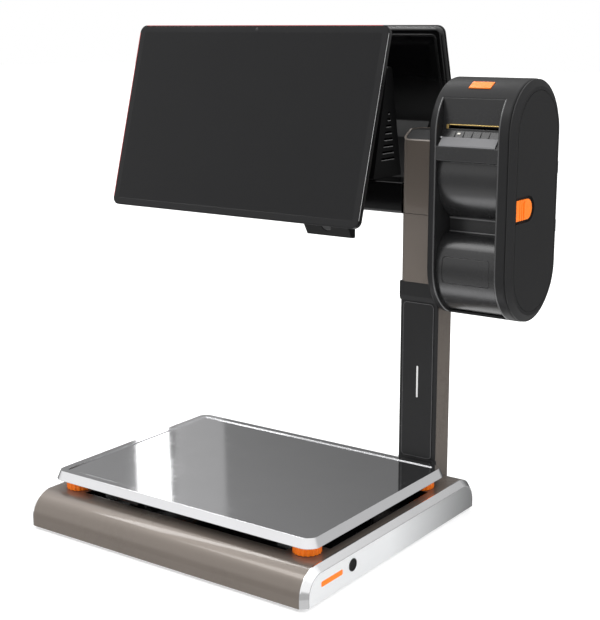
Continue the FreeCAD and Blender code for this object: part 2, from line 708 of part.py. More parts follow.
def connector_panel():
    """A small panel in the back of the base, with the power inlet and three sockets."""
    low = "inlet_x - port_panel_width"
    bottom = "plate_top + 1 + fit_gap"
    top = "%s + port_panel_height" % bottom
    y = ("base_front - base_wall - port_panel_thickness", "base_front - base_wall")
    plate = box("connector_plate", (low, "inlet_x"), y, (bottom, top))
    holes = []
    for index, width in enumerate(("14", "14", "16")):
        x = "%s + 8 + %d * 22" % (low, index)
        holes.append(box("socket_hole_%d" % index, (x, "%s + %s" % (x, width)),
                         (y[1] + " - 1.4", y[1] + " + 1"), ("%s + 3" % bottom, "%s + 11" % bottom)))
    inlet = ("inlet_x - 6 - inlet_width", "inlet_x - 6")
    holes.append(box("inlet_hole", inlet, (y[0] + " - 1", y[1] + " + 1"),
                     ("%s + 1.5" % bottom, "%s - 1.5" % top)))
    finish(cut("connector_panel", plate, holes, True), "connector_panel")
    shell = box("inlet_shell", ("%s + 0.2" % inlet[0], "%s - 0.2" % inlet[1]),
                ("base_front - base_wall - 15", "base_front - base_wall - 0.5"),
                ("%s + 1.7" % bottom, "%s - 1.7" % top))
    mouth = box("inlet_mouth", ("%s + 2" % inlet[0], "%s - 2" % inlet[1]),
                ("base_front - base_wall - 13", "base_front"), ("%s + 3.4" % bottom, "%s - 3.4" % top))
    finish(cut("power_inlet", shell, [mouth], True), "power_inlet")


# ---------------------------------------------------------------- column and head


def base_solid(name):
    """The base's outer shape, to trim what stands on its rounded back edge."""
    return slab(name, "X", "-shell_end", "shell_end", base_section("-0.05", "foot_height"))


def column_post():
    body = new_body("column_post_body", framed=False)
    pad(body, "Z", "base_top - base_round", "column_top",
        rectangle("column_left", "column_right", "column_front", "column_back"))
    soften(body, "column_corner", lambda p: near(p.y, "column_back")
           and (near(p.x, "column_left") or near(p.x, "column_right")))
    inner = rectangle("column_left + column_wall", "column_right - column_wall",
                      "column_front - 1", "column_back - column_wall")
    pocket(body, "Z", "base_top - base_round - 1", "column_top + 1", inner)
    finish(cut("column_post", body, [base_solid("post_trim")], True), "column_post")


def column_cover():
    """The dark cover that closes the column's front, with a raised inlay."""
    body = new_body("column_cover")
    front = "column_front - cover_thickness"
    top = "column_top - fit_gap"
    pad(body, "Y", front, "column_front - 0.05", rectangle("column_left", "column_right", "base_top", top))
    soften(body, "1.2", lambda p: near(p.y, front)
           and (near(p.x, "column_left") or near(p.x, "column_right")))
    finish(body, "column_cover")
    inlay = new_body("column_inlay")
    face = "column_front - cover_thickness - inlay_thickness"
    pad(inlay, "Y", face, front, rounded("column_left + inlay_inset", "column_right - inlay_inset",
                                         "inlay_bottom", "column_top - 8", "inlay_corner"))
    soften(inlay, "0.4", lambda p: near(p.y, face))
    finish(inlay, "column_inlay")


def foot_collar():
    """A dark collar in front of the column's foot, flared where it meets the base."""

    def outline(spread):
        return rounded("column_left - (%s)" % spread, "column_right + (%s)" % spread,
                       "column_front - cover_thickness - (%s)" % spread,
                       "column_back + (%s)" % spread, "column_corner")

    body = new_body("collar_body", framed=False)
    upper = new_sketch(body, "Z", "base_top + collar_height")
    draw_outline(upper, outline("0.9"))
    lower = new_sketch(body, "Z", "base_top + 0.05")
    draw_outline(lower, outline("collar_flare"))
    loft = body.newObject("PartDesign::AdditiveLoft", "collar_loft")
    loft.Profile = upper
    loft.Sections = [lower]
    loft.Ruled = True
    doc.recompute()
    rise = ("base_top - 1", "base_top + collar_height + 1")
    inner = box("collar_hole", ("column_left - 0.1", "column_right + 0.1"),
                ("column_front - cover_thickness - 0.1", "column_back + 0.1"), rise)
    rear = box("collar_open_rear", ("column_left - 20", "column_right + 20"),
               ("column_front", "column_back + 20"), rise)
    finish(cut("foot_collar", body, [inner, rear], True), "foot_collar")


def head_block(name, low, high):
    """One hollow storey of the head, with its front and back corners rounded."""
    body = new_body(name)
    pad(body, "Z", low, high, rounded("head_left", "head_right", "head_front", "head_back", "head_corner"))
    inner = rounded("head_left + head_wall", "head_right - head_wall", "head_front + head_wall",
                    "head_back - head_wall", "head_corner - head_wall")
    return body, inner


def head():
    """The column's head: a dark collar that narrows down to the column, and two taupe storeys."""
    collar = new_body("head_collar")
    back = "head_back - 1"
    outline = [
        ("head_front + 0.5", "head_bottom"),
        ("column_front - cover_thickness - 1", "head_bottom - head_collar_slope"),
        (back, "head_bottom - head_collar_slope"), (back, "head_bottom + head_collar_height"),
        ("head_front + 0.5", "head_bottom + head_collar_height"),
    ]
    pad(collar, "X", "head_left + 0.3", "head_right - 0.3", outline)
    hole = rectangle("column_left - 0.1", "column_right + 0.1",
                     "column_front - cover_thickness - 0.1", "column_back + 0.1")
    pocket(collar, "Z", "head_bottom - head_collar_slope - 1", "head_bottom + 0.1", hole)
    pocket(collar, "Z", "head_bottom", "head_bottom + head_collar_height + 1",
           rectangle("column_left + 4", "column_right - 4", "column_front + 2", "column_back - 4"))
    finish(collar, "head_collar")

    bottom = "head_bottom + head_collar_height"
    lower, inner = head_block("head_lower", bottom, "head_seam - head_seam_gap / 2")
    pocket(lower, "Z", "%s - 1" % bottom, "head_seam + 1", inner)
    finish(lower, "head_lower")

    upper, inner = head_block("head_upper", "head_seam + head_seam_gap / 2", "head_top")
    pocket(upper, "Z", "head_seam - 1", "head_top + 1", inner)
    slope = [
        ("head_front - 1", "head_top_front"), ("head_front", "head_top_front"),
        ("head_crest", "head_top"), ("head_crest", "head_top + 1"), ("head_front - 1", "head_top + 1"),
    ]
    pocket(upper, "X", "head_left - 1", "head_right + 1", slope)
    finish(upper, "head_upper")

    wall = "(head_wall + 0.2)"
    under = "(head_cap_sink + 3)"
    rise = "(head_top - head_top_front) / (head_crest - head_front)"
    front = "head_front + %s" % wall
    back = "head_back - %s" % wall
    front_z = "head_top_front + %s * %s" % (wall, rise)
    profile = [
        (front, "%s - %s" % (front_z, under)), ("head_crest", "head_top - %s" % under),
        (back, "head_top - %s" % under), (back, "head_top - head_cap_sink"),
        ("head_crest", "head_top - head_cap_sink"), (front, "%s - head_cap_sink" % front_z),
    ]
    strip = slab("cap_strip", "X", "head_left", "head_right", profile)
    plan = slab("cap_plan", "Z", "head_top_front - 20", "head_top",
                rounded("head_left + %s" % wall, "head_right - %s" % wall, front, back,
                        "head_corner - %s" % wall))
    finish(common("head_cap", strip, plan, True), "head_cap")


# ---------------------------------------------------------------- arm, hub and camera


def cross_arm():
    body = new_body("cross_arm_body", framed=False)
    pad(body, "X", "arm_left", "head_left - 0.1",
        rectangle("arm_front", "arm_back", "arm_bottom", "arm_top"))
    soften(body, "arm_round", lambda p: (near(p.y, "arm_front") or near(p.y, "arm_back"))
           and (near(p.z, "arm_bottom") or near(p.z, "arm_top")) and abs(p.x) < 1e4
           and not near(p.x, "arm_left") and not near(p.x, "head_left - 0.1")
           or (near(p.y, "arm_front") or near(p.y, "arm_back"))
           and (near(p.z, "arm_bottom") or near(p.z, "arm_top")))
    pocket(body, "X", "arm_left + arm_wall", "head_left + 1",
           rectangle("arm_front + arm_wall", "arm_back - arm_wall", "arm_bottom + arm_wall",
                     "arm_top - arm_wall"))
    finish(cut("cross_arm", body, [
        box("arm_cable_hole", ("display_centre_x - 10", "display_centre_x + 10"),
            ("arm_front + 14", "arm_back - 14"), ("arm_top - arm_wall - 1", "arm_top + 1"))], True),
           "cross_arm")


def hub_section(inset):
    """The wedge-shaped section of the computer housing between the displays, in Y and Z."""
    lift = "(%s) * 3" % inset
    return [
        ("hub_front + 1.2 * (%s)" % inset, "arm_top + 0.1 + (%s)" % inset),
        ("hub_back - 1.3 * (%s)" % inset, "arm_top + 0.1 + (%s)" % inset),
        ("hub_apex + hub_top_width / 2 - 0.6 * (%s)" % inset, "hub_top - %s" % lift),
        ("hub_apex - hub_top_width / 2 + 0.6 * (%s)" % inset, "hub_top - %s" % lift),
    ]


def hub():
    DERIVED["hub_left"] = "2 * display_centre_x - hub_right"
    body = new_body("hub_body", framed=False)
    pad(body, "X", "hub_left", "hub_right", hub_section("0"))
    soften(body, "3", lambda p: near(p.z, "hub_top") and not (p.x > number("hub_left") + 1
           and p.x < number("hub_right") - 1 and abs(p.y - number("hub_apex")) < 0.1))
    pocket(body, "X", "hub_left + hub_wall", "hub_right - hub_wall", hub_section("hub_wall"))
    vents = []
    for index in range(int(number("vent_count"))):
        z = "arm_top + vent_start + %d * vent_pitch" % index
        part = "(%s - arm_top) / (hub_top - arm_top)" % z
        low = "hub_front + vent_margin + (hub_apex - hub_front) * %s" % part
        high = "hub_back - vent_margin - (hub_back - hub_apex) * %s" % part
        if number(high) - number(low) < number("vent_height"):
            continue
        for side, (x_low, x_high) in (
            ("right", ("hub_right - vent_depth", "hub_right + 1")),
            ("left", ("hub_left - 1", "hub_left + vent_depth")),
        ):
            vents.append(box("vent_%s_%d" % (side, index), (x_low, x_high), (low, high),
                             (z, "%s + vent_height" % z)))
    finish(cut("hub_housing", body, vents, True), "hub_housing")
    board = box("computer_board", ("hub_left + board_margin", "hub_right - board_margin"),
                ("hub_apex - board_thickness / 2", "hub_apex + board_thickness / 2"),
                ("arm_top + 0.1 + hub_wall", "hub_top - 4 * board_margin"), True)
    finish(board, "computer_board")


def camera():
    """The pod under the arm that looks down at the tray, with its lens in the sloping face."""
    body = new_body("camera_body", framed=False)
    outline = [
        ("camera_front", "arm_bottom - 0.1"), ("camera_front", "camera_lip"),
        ("camera_nose", "camera_bottom"), ("camera_back", "camera_bottom"),
        ("camera_back", "arm_bottom - 0.1"),
    ]
    pad(body, "X", "camera_left", "camera_right", outline)
    soften(body, "2", lambda p: (near(p.x, "camera_left") or near(p.x, "camera_right"))
           and p.z < number("arm_bottom") - 1 and p.y < number("camera_back") - 1)
    DERIVED["lens_x"] = "(camera_left + camera_right) / 2"
    DERIVED["lens_y"] = "(camera_front + camera_nose) / 2"
    DERIVED["lens_z"] = "(camera_lip + camera_bottom) / 2"
    run = number("camera_nose - camera_front")
    drop = number("camera_lip - camera_bottom")
    turn = FreeCAD.Rotation(FreeCAD.Vector(0, 0, 1), FreeCAD.Vector(0, -drop, -run))
    bore = rod("lens_bore", "Z", ("lens_x", "lens_y", "lens_z"), "lens_radius + 0.1", "2 * lens_depth")
    bore.Placement.Rotation = turn
    slope = "sqrt((camera_nose - camera_front)^2 + (camera_lip - camera_bottom)^2)"
    step_y = "(camera_lip - camera_bottom) / %s" % slope
    step_z = "(camera_nose - camera_front) / %s" % slope
    place(bore, "lens_x", "lens_y + lens_depth * %s" % step_y, "lens_z + lens_depth * %s" % step_z, False)
    finish(cut("camera_housing", body, [bore], True), "camera_housing")
    lens = rod("camera_lens", "Z", ("lens_x", "lens_y", "lens_z"), "lens_radius", "lens_depth - 0.8", True)
    lens.Placement.Rotation = turn
    place(lens, "lens_x", "lens_y + (lens_depth - 0.2) * %s" % step_y,
          "lens_z + (lens_depth - 0.2) * %s" % step_z, True)
    finish(lens, "camera_lens")


# ---------------------------------------------------------------- displays


def tilt_display(thing, side, x="0", y="0", z="0"):
    """Stands an upright display piece at its tilt, about the middle of its bottom front edge."""
    lean = FreeCAD.Rotation(FreeCAD.Vector(1, 0, 0), -number("display_tilt"))
    if side == "rear":
        lean = FreeCAD.Rotation(FreeCAD.Vector(0, 0, 1), 180) * lean
    thing.Placement.Rotation = lean
    sign = "1" if side == "front" else "-1"
    turned_y = "%s * ((%s) * cos(display_tilt) + (%s) * sin(display_tilt))" % (sign, y, z)
    turned_z = "(%s) * cos(display_tilt) - (%s) * sin(display_tilt)" % (z, y)
    start = "front_bottom_y" if side == "front" else "rear_bottom_y"
    place(thing, "display_centre_x + %s * (%s)" % (sign, x), "%s + %s" % (start, turned_y),
          "display_bottom + %s" % turned_z, True)


def display(side):
    """One display: cover glass, LCD panel, back cover with a deeper lower half, and its hinge knuckles."""
    half = "display_width / 2"
    glass = doc.addObject("PartDesign::Body", side + "_display_glass")
    pad(glass, "Y", "0", "glass_thickness",
        rounded("-%s" % half, half, "0", "display_height", "display_corner"))
    tilt_display(glass, side)
    finish(glass, side + "_display_glass")

    lcd = doc.addObject("Part::Box", side + "_display_lcd")
    bind(lcd, "Length", "lcd_width")
    bind(lcd, "Width", "lcd_thickness")
    bind(lcd, "Height", "lcd_height")
    low = "(display_height - lcd_height) / 2"
    tilt_display(lcd, side, "-lcd_width / 2", "glass_thickness + 0.05", low)
    finish(lcd, side + "_display_lcd")

    cover = doc.addObject("PartDesign::Body", side + "_display_cover_body")
    start = "glass_thickness + 0.02"
    inset = "0.5"
    pad(cover, "Y", start, "display_edge",
        rounded("-%s + %s" % (half, inset), "%s - %s" % (half, inset), inset, "display_height - %s" % inset,
                "display_corner - %s" % inset))
    soften(cover, "4", lambda p: near(p.y, "display_edge"))
    wall = "display_wall"
    pocket(cover, "Y", "glass_thickness - 1", "display_edge - %s" % wall,
           rounded("-%s + 3" % half, "%s - 3" % half, "3", "display_height - 3", "display_corner - 3"))
    bulge = doc.addObject("PartDesign::Body", side + "_bulge")
    bulge_profile = [
        ("display_edge - 1", "bulge_low"), ("display_edge + bulge_depth", "bulge_low + bulge_slope"),
        ("display_edge + bulge_depth", "bulge_high - bulge_slope"), ("display_edge - 1", "bulge_high + 8"),
    ]
    pad(bulge, "X", "-bulge_width / 2", "bulge_width / 2", bulge_profile)
    soften(bulge, "6", lambda p: near(abs(p.x), "bulge_width / 2") and p.y > number("display_edge") - 1.01
           and not near(p.y, "display_edge - 1"))
    hollow = doc.addObject("PartDesign::Body", side + "_bulge_hollow")
    hollow_profile = [
        ("display_edge - 3", "bulge_low + 4"),
        ("display_edge + bulge_depth - 2.5", "bulge_low + bulge_slope + 2"),
        ("display_edge + bulge_depth - 2.5", "bulge_high - bulge_slope - 2"),
        ("display_edge - 3", "bulge_high"),
    ]
    pad(hollow, "X", "-bulge_width / 2 + 7", "bulge_width / 2 - 7", hollow_profile)
    knuckle = []
    middle = ("hinge_depth", "hinge_along")
    for tag, x_low, x_high in (
        ("left", "-hinge_width / 2", "-hinge_width / 2 + hinge_knuckle"),
        ("right", "hinge_width / 2 - hinge_knuckle", "hinge_width / 2"),
    ):
        ear = doc.addObject("PartDesign::Body", "%s_ear_%s" % (side, tag))
        arm = [
            ("display_edge - 1", "%s - 9" % middle[1]),
            (middle[0], "%s - hinge_radius" % middle[1], "hinge_radius", "anticlockwise"),
            ("%s + hinge_radius" % middle[0], middle[1], "hinge_radius", "anticlockwise"),
            (middle[0], "%s + hinge_radius" % middle[1]), ("display_edge - 1", "%s + 9" % middle[1]),
        ]
        pad(ear, "X", x_low, x_high, arm)
        knuckle.append(ear)
    bore = doc.addObject("Part::Cylinder", side + "_ear_bore")
    bind(bore, "Radius", "hinge_pin_radius + hinge_bore_gap")
    bind(bore, "Height", "hinge_width + 2")
    bore.Placement.Rotation = ROD_TURNS["X"]
    place(bore, "-hinge_width / 2 - 1", middle[0], middle[1], False)
    solid = merge(side + "_cover_solid", [cover, bulge] + knuckle)
    shell = cut(side + "_display_back", solid, [hollow, bore])
    tilt_display(shell, side)
    finish(shell, side + "_display_back")

    axis_y = "hinge_depth * cos(display_tilt) + hinge_along * sin(display_tilt)"
    axis_z = "display_bottom + hinge_along * cos(display_tilt) - hinge_depth * sin(display_tilt)"
    if side == "front":
        DERIVED["front_axis_y"] = "front_bottom_y + %s" % axis_y
        DERIVED["display_axis_z"] = axis_z
    else:
        DERIVED["rear_axis_y"] = "rear_bottom_y - (%s)" % axis_y


def display_bracket(side):
    """The fixed half of a display's hinge: a block from the hub's sloping wall to a barrel and its pin."""
    sign = -1 if side == "front" else 1
    y = side + "_axis_y"
    length = "hinge_width - 2 * hinge_knuckle - 2 * hinge_side_gap"
    x_low = "display_centre_x - (%s) / 2" % length
    x_high = "display_centre_x + (%s) / 2" % length
    rise = "(display_axis_z - arm_top) / (hub_top - arm_top)"
    corner = "hub_front" if side == "front" else "hub_back"
    wall = "%s + (hub_apex - %s) * (%s)" % (corner, corner, rise)
    barrel = rod(side + "_barrel", "X", (x_low, y, "display_axis_z"), "hinge_radius", length)
    low, high = (y, "%s + 5" % wall) if sign < 0 else ("%s - 5" % wall, y)
    web = box(side + "_bracket_web", (x_low, x_high), (low, high),
              ("display_axis_z - hinge_radius * 0.8", "display_axis_z + hinge_radius * 0.8"))
    pin = rod(side + "_hinge_pin", "X", ("display_centre_x - hinge_width / 2", y, "display_axis_z"),
              "hinge_pin_radius", "hinge_width")
    inside = slab(side + "_bracket_hub", "X", "hub_left", "hub_right", hub_section("0"))
    solid = merge(side + "_bracket_solid", [barrel, web, pin])
    finish(cut(side + "_display_bracket", solid, [inside], True), side + "_display_bracket")


# ---------------------------------------------------------------- printer pod


def panel_line(inset):
    """The front panel's line in Y and Z, from the bottom of the lower bulge up to the crease at the top."""
    i = "(%s)" % inset
    r = "(bulge_radius - %s)" % i
    way = "clockwise"
    drop = "sqrt(%s^2 - (pod_y - back_reach)^2)" % r
    shoulder = "sqrt(%s^2 - (shoulder_z - lower_bulge)^2)" % r
    waist = "(waist_y + %s)" % i
    waist_rise = "sqrt(%s^2 - (pod_y - %s)^2)" % (r, waist)
    step = "sqrt(%s^2 - (step_z + %s - upper_bulge)^2)" % (r, i)
    return [
        ("back_reach", "lower_bulge - %s" % drop, r, way),
        ("pod_y - %s" % shoulder, "shoulder_z", "shoulder_radius - %s" % i, way),
        (waist, "waist_z - 0.5 * %s" % i),
        (waist, "upper_bulge - %s" % waist_rise, r, way),
        ("pod_y - %s" % step, "step_z + %s" % i),
        ("pod_front + %s" % i, "step_z + step_slope + %s" % i),
        ("pod_front + %s" % i, "ledge_z - 0.4 * %s" % i),
        ("ledge_y + 0.8 * %s" % i, "ledge_top - 0.7 * %s" % i),
        ("throat_y + %s" % i, "throat_z - 0.5 * %s" % i),
        ("throat_y + %s" % i, "slot_z + slot_height"),
        ("crease_y + %s" % i, "crease"),
    ]


def panel_region(name, low, high, inset):
    """Everything behind the front panel's line, as far back as the panel reaches."""
    return slab(name, "X", low, high, panel_line(inset) + [("back_reach", "crease")])


def printer_shell():
    """The pod's main moulding: an upright obround tub, open to the door, with a window in its front."""
    DERIVED["back_reach"] = "window_back + 8"
    DERIVED["crease_y"] = "pod_y - sqrt(pod_radius^2 - (crease - pod_high)^2)"
    body = new_body("pod_body", framed=False)
    pad(body, "X", "pod_left", "pod_right", obround("pod_radius"))
    soften(body, "pod_edge_round", lambda p: near(p.x, "pod_left") or near(p.x, "pod_right"))
    pocket(body, "X", "pod_left + pod_wall", "pod_right + 1", obround("(pod_radius - pod_flange)"))
    pocket(body, "X", "panel_left", "panel_right", obround("(pod_radius - pod_wall)"))
    window = box("pod_window", ("panel_left", "panel_right"), ("pod_front - 5", "window_back"),
                 ("pod_low - pod_radius - 5", "crease"))
    open_front = cut("pod_open", body, [window])
    webs = []
    for tag, low, high in (
        ("left", "panel_left - web", "panel_left"), ("right", "panel_right", "panel_right + web"),
    ):
        disc = slab("web_disc_" + tag, "X", low, high, obround("(pod_radius - 1)"))
        front = box("web_front_" + tag, (low, high), ("pod_front", "back_reach"),
                    ("pod_low - pod_radius", "crease"))
        behind = panel_region("web_behind_" + tag, "%s - 1" % low, "%s + 1" % high, "panel_sheet")
        webs.append(cut("web_" + tag, common("web_part_" + tag, disc, front), [behind]))
    lugs = []
    for tag, z in (("low", "pod_low + 20"), ("high", "pod_high - 20 - knuckle_length")):
        barrel = rod("shell_knuckle_" + tag, "Z", ("door_hinge_x", "door_hinge_y", z),
                     "knuckle_radius", "knuckle_length")
        rise = (z, "%s + knuckle_length" % z)
        leaf = box("shell_leaf_" + tag, ("door_hinge_x - leaf_length", "door_hinge_x"),
                   ("pod_y + pod_radius - 1", "door_hinge_y + leaf_sheet / 2"), rise)
        pin_bore = rod("shell_knuckle_bore_" + tag, "Z", ("door_hinge_x", "door_hinge_y", "%s - 1" % z),
                       "pin_radius + shaft_gap", "knuckle_length + 2")
        lug = merge("shell_lug_solid_" + tag, [barrel, leaf])
        lugs.append(cut("shell_lug_" + tag, lug, [pin_bore]))
    solid = merge("pod_solid", [open_front] + webs + lugs)
    notch = box("strike_notch", ("bolt_right - bolt_thickness - bolt_gap", "bolt_right + bolt_gap"),
                ("pod_front + 3", "pod_front + pod_flange + 1"),
                ("latch_z - bolt_width / 2 - 0.6", "latch_z + bolt_width / 2 + 0.6"))
    holes = bosses("pod_boss_hole", "pod_left - 1", "pod_wall + 2", "screw_radius + 0.2")
    tools = [feed_hole(), notch] + holes
    for tag, y, z in shaft_places():
        tools.append(rod("shaft_seat_" + tag, "X", ("pod_left + 1", y, z), shaft_size(tag) + " + shaft_gap",
                         "pod_wall"))
    finish(cut("printer_shell", solid, tools, True), "printer_shell")


def bosses(name, x, length, radius):
    """Rods at the four screw places that hold the pod to the column's head."""
    return [
        rod("%s_%d" % (name, index), "X", (x, y, z), radius, length)
        for index, (y, z) in enumerate((y, z) for y in ("128", "150") for z in ("350", "440"))
    ]


def shaft_places():
    return [
        ("platen", "platen_y", "platen_z"),
        ("roll", "pod_y", "upper_bulge"),
        ("spool", "pod_y", "lower_bulge"),
    ]


def shaft_size(tag):
    return "shaft_radius" if tag == "platen" else "2 * shaft_radius"


def front_panel():
    outer = panel_region("panel_outer", "panel_left + panel_gap", "panel_right - panel_gap", "0")
    inner = panel_region("panel_inner", "panel_left - 1", "panel_right + 1", "panel_sheet")
    throat = box("panel_throat", ("slot_left", "slot_right"), ("throat_y - 3", "throat_y + 8"),
                 ("slot_z", "slot_z + slot_height"))
    window = slab("panel_window", "Y", "pod_front", "pod_y - 40",
                  rounded("window_left", "window_right", "window_low", "window_high", "4"))
    finish(cut("printer_front_panel", outer, [inner, throat, window], True), "printer_front_panel")
    pane_outer = slab("pane_outer", "X", "window_left", "window_right",
                      ("pod_y", "lower_bulge", "bulge_radius - 0.3"))
    pane_inner = slab("pane_inner", "X", "window_left - 1", "window_right + 1",
                      ("pod_y", "lower_bulge", "bulge_radius - 0.3 - window_thickness"))
    pane_shape = slab("pane_shape", "Y", "pod_front", "pod_y - 40",
                      rounded("window_left + 0.3", "window_right - 0.3", "window_low + 0.3",
                              "window_high - 0.3",
                              "3.7"))
    ring = cut("pane_ring", pane_outer, [pane_inner])
    finish(common("printer_window", ring, pane_shape, True), "printer_window")


def peel_edge():
    """The bright bar below the slot, where the label leaves its liner."""
    body = new_body("peel_edge")
    t = "peel_thickness"
    outline = [
        ("pod_front - 0.3", "ledge_z + 0.4"), ("ledge_y", "ledge_top + 0.3"),
        ("ledge_y - 0.7 * %s" % t, "ledge_top + 0.3 + 0.7 * %s" % t),
        ("pod_front - 0.3", "ledge_z + 0.4 + 1.3 * %s" % t),
    ]
    pad(body, "X", "peel_left", "peel_right", outline)
    finish(body, "peel_edge")


def feed_box(name, grow, low, high, framed):
    """A box on the pod's round top, turned to face outwards at the feed button's angle."""
    thing = doc.addObject("Part::Box", name)
    bind(thing, "Length", "feed_width + 2 * (%s)" % grow)
    bind(thing, "Width", "feed_depth + 2 * (%s)" % grow)
    bind(thing, "Height", "(%s) - (%s)" % (high, low))
    thing.Placement.Rotation = FreeCAD.Rotation(FreeCAD.Vector(1, 0, 0), number("feed_angle"))
    side = "(-feed_depth / 2 - (%s))" % grow
    out = "(%s)" % low
    place(thing, "feed_x - feed_width / 2 - (%s)" % grow,
          "pod_y + %s * cos(feed_angle) - %s * sin(feed_angle)" % (side, out),
          "pod_high + %s * sin(feed_angle) + %s * cos(feed_angle)" % (side, out), framed)
    return thing


def feed_hole():
    return feed_box("feed_hole", "feed_gap", "pod_radius - 8", "pod_radius + 4", False)


def feed_button():
    top = "pod_radius + feed_proud"
    finish(feed_box("feed_button", "0", "%s - feed_height" % top, top, True), "feed_button")


def print_works():
    """The thermal print unit behind the slot: its frame, print head, platen roller, gears and motor."""
    x_pairs = (
        ("frame_left", "frame_left + frame_sheet"), ("frame_right - frame_sheet", "frame_right"),
    )
    y = ("platen_y - 4", "frame_back")
    plates = [box("frame_plate_%d" % index, pair, y, ("frame_low", "frame_high"))
              for index, pair in enumerate(x_pairs)]
    plates.append(box("frame_bar", ("frame_left", "frame_right"), ("frame_back - 12", "frame_back"),
                      ("frame_high - 3", "frame_high")))
    bore = rod("frame_bore", "X", ("frame_left - 1", "platen_y", "platen_z"), "shaft_radius + shaft_gap",
               "frame_right - frame_left + 2")
    solid = merge("print_frame_solid", plates)
    finish(cut("print_frame", solid, [bore], True), "print_frame")
    head_z = "platen_z + platen_radius + 2"
    finish(box("print_head", ("frame_left + frame_sheet + 0.3", "frame_right - frame_sheet - 0.3"),
               ("platen_y - 2", "platen_y - 2 + head_block_depth"),
               (head_z, "%s + head_block_height" % head_z), True), "print_head")
    roller = rod("platen_rubber", "X", ("frame_left + frame_sheet + 1", "platen_y", "platen_z"),
                 "platen_radius",
                 "frame_right - frame_left - 2 * frame_sheet - 2")
    shaft = rod("platen_shaft", "X", ("pod_left + 1.4", "platen_y", "platen_z"), "shaft_radius",
                "frame_right - pod_left + 2")
    finish(merge("platen_roller", [roller, shaft], True), "platen_roller")
    gear_x = "pod_left + pod_wall + 0.6"
    gear = rod("platen_gear_disc", "X", (gear_x, "platen_y", "platen_z"), "platen_gear_radius", "gear_width")
    gear_bore = rod("platen_gear_bore", "X", ("%s - 1" % gear_x, "platen_y", "platen_z"), "shaft_radius",
                    "gear_width + 2")
    finish(cut("platen_gear", gear, [gear_bore], True), "platen_gear")
    DERIVED["motor_y"] = "platen_y + platen_gear_radius + motor_gear_radius + gear_gap"
    shaft_start = "%s + 0.2" % gear_x
    pinion = rod("motor_pinion", "X", (shaft_start, "motor_y", "motor_z"), "motor_gear_radius", "gear_width")
    spindle = rod("motor_spindle", "X", (shaft_start, "motor_y", "motor_z"), "shaft_radius * 0.6",
                  "frame_left - (%s) - 0.4" % shaft_start)
    finish(merge("motor_gear", [pinion, spindle], True), "motor_gear")


def label_roll():
    """The label roll on its spindle, and the spool that winds up the spent liner."""
    roll = rod("roll_paper", "X", ("roll_left", "pod_y", "upper_bulge"), "roll_radius",
               "roll_right - roll_left")
    core = rod("roll_core_hole", "X", ("roll_left - 1", "pod_y", "upper_bulge"), "roll_core + 0.1",
               "roll_right - roll_left + 2")
    finish(cut("label_roll", roll, [core], True), "label_roll")
    hub_start = "pod_left + pod_wall + 3"
    hub = rod("roll_hub", "X", (hub_start, "pod_y", "upper_bulge"), "spindle_radius",
              "roll_right - (%s) + 6" % hub_start)
    axle = rod("roll_axle", "X", ("pod_left + 1.4", "pod_y", "upper_bulge"), "2 * shaft_radius", "8")
    plate = rod("roll_flange", "X", (hub_start, "pod_y", "upper_bulge"), "roll_radius * 0.6", "2")
    finish(merge("roll_spindle", [hub, axle, plate], True), "roll_spindle")
    spool = rod("spool_body", "X", ("roll_left", "pod_y", "lower_bulge"), "spool_core",
                "roll_right - roll_left")
    liner = rod("spool_liner", "X", ("roll_left + 2", "pod_y", "lower_bulge"), "spool_radius - 8",
                "roll_right - roll_left - 4")
    disc = rod("spool_disc", "X", (hub_start, "pod_y", "lower_bulge"), "spool_radius", "2.5")
    spool_axle = rod("spool_axle", "X", ("pod_left + 1.4", "pod_y", "lower_bulge"), "2 * shaft_radius", "14")
    finish(merge("liner_spool", [spool, liner, disc, spool_axle], True), "liner_spool")


def latch_outline(front, end, radius):
    """A D-shaped outline in Y and Z, flat at the front and round at the back."""
    way = "anticlockwise"
    return [
        (front, "latch_z - (%s)" % radius), (end, "latch_z - (%s)" % radius, radius, way),
        ("%s + (%s)" % (end, radius), "latch_z", radius, way),
        (end, "latch_z + (%s)" % radius), (front, "latch_z + (%s)" % radius),
    ]


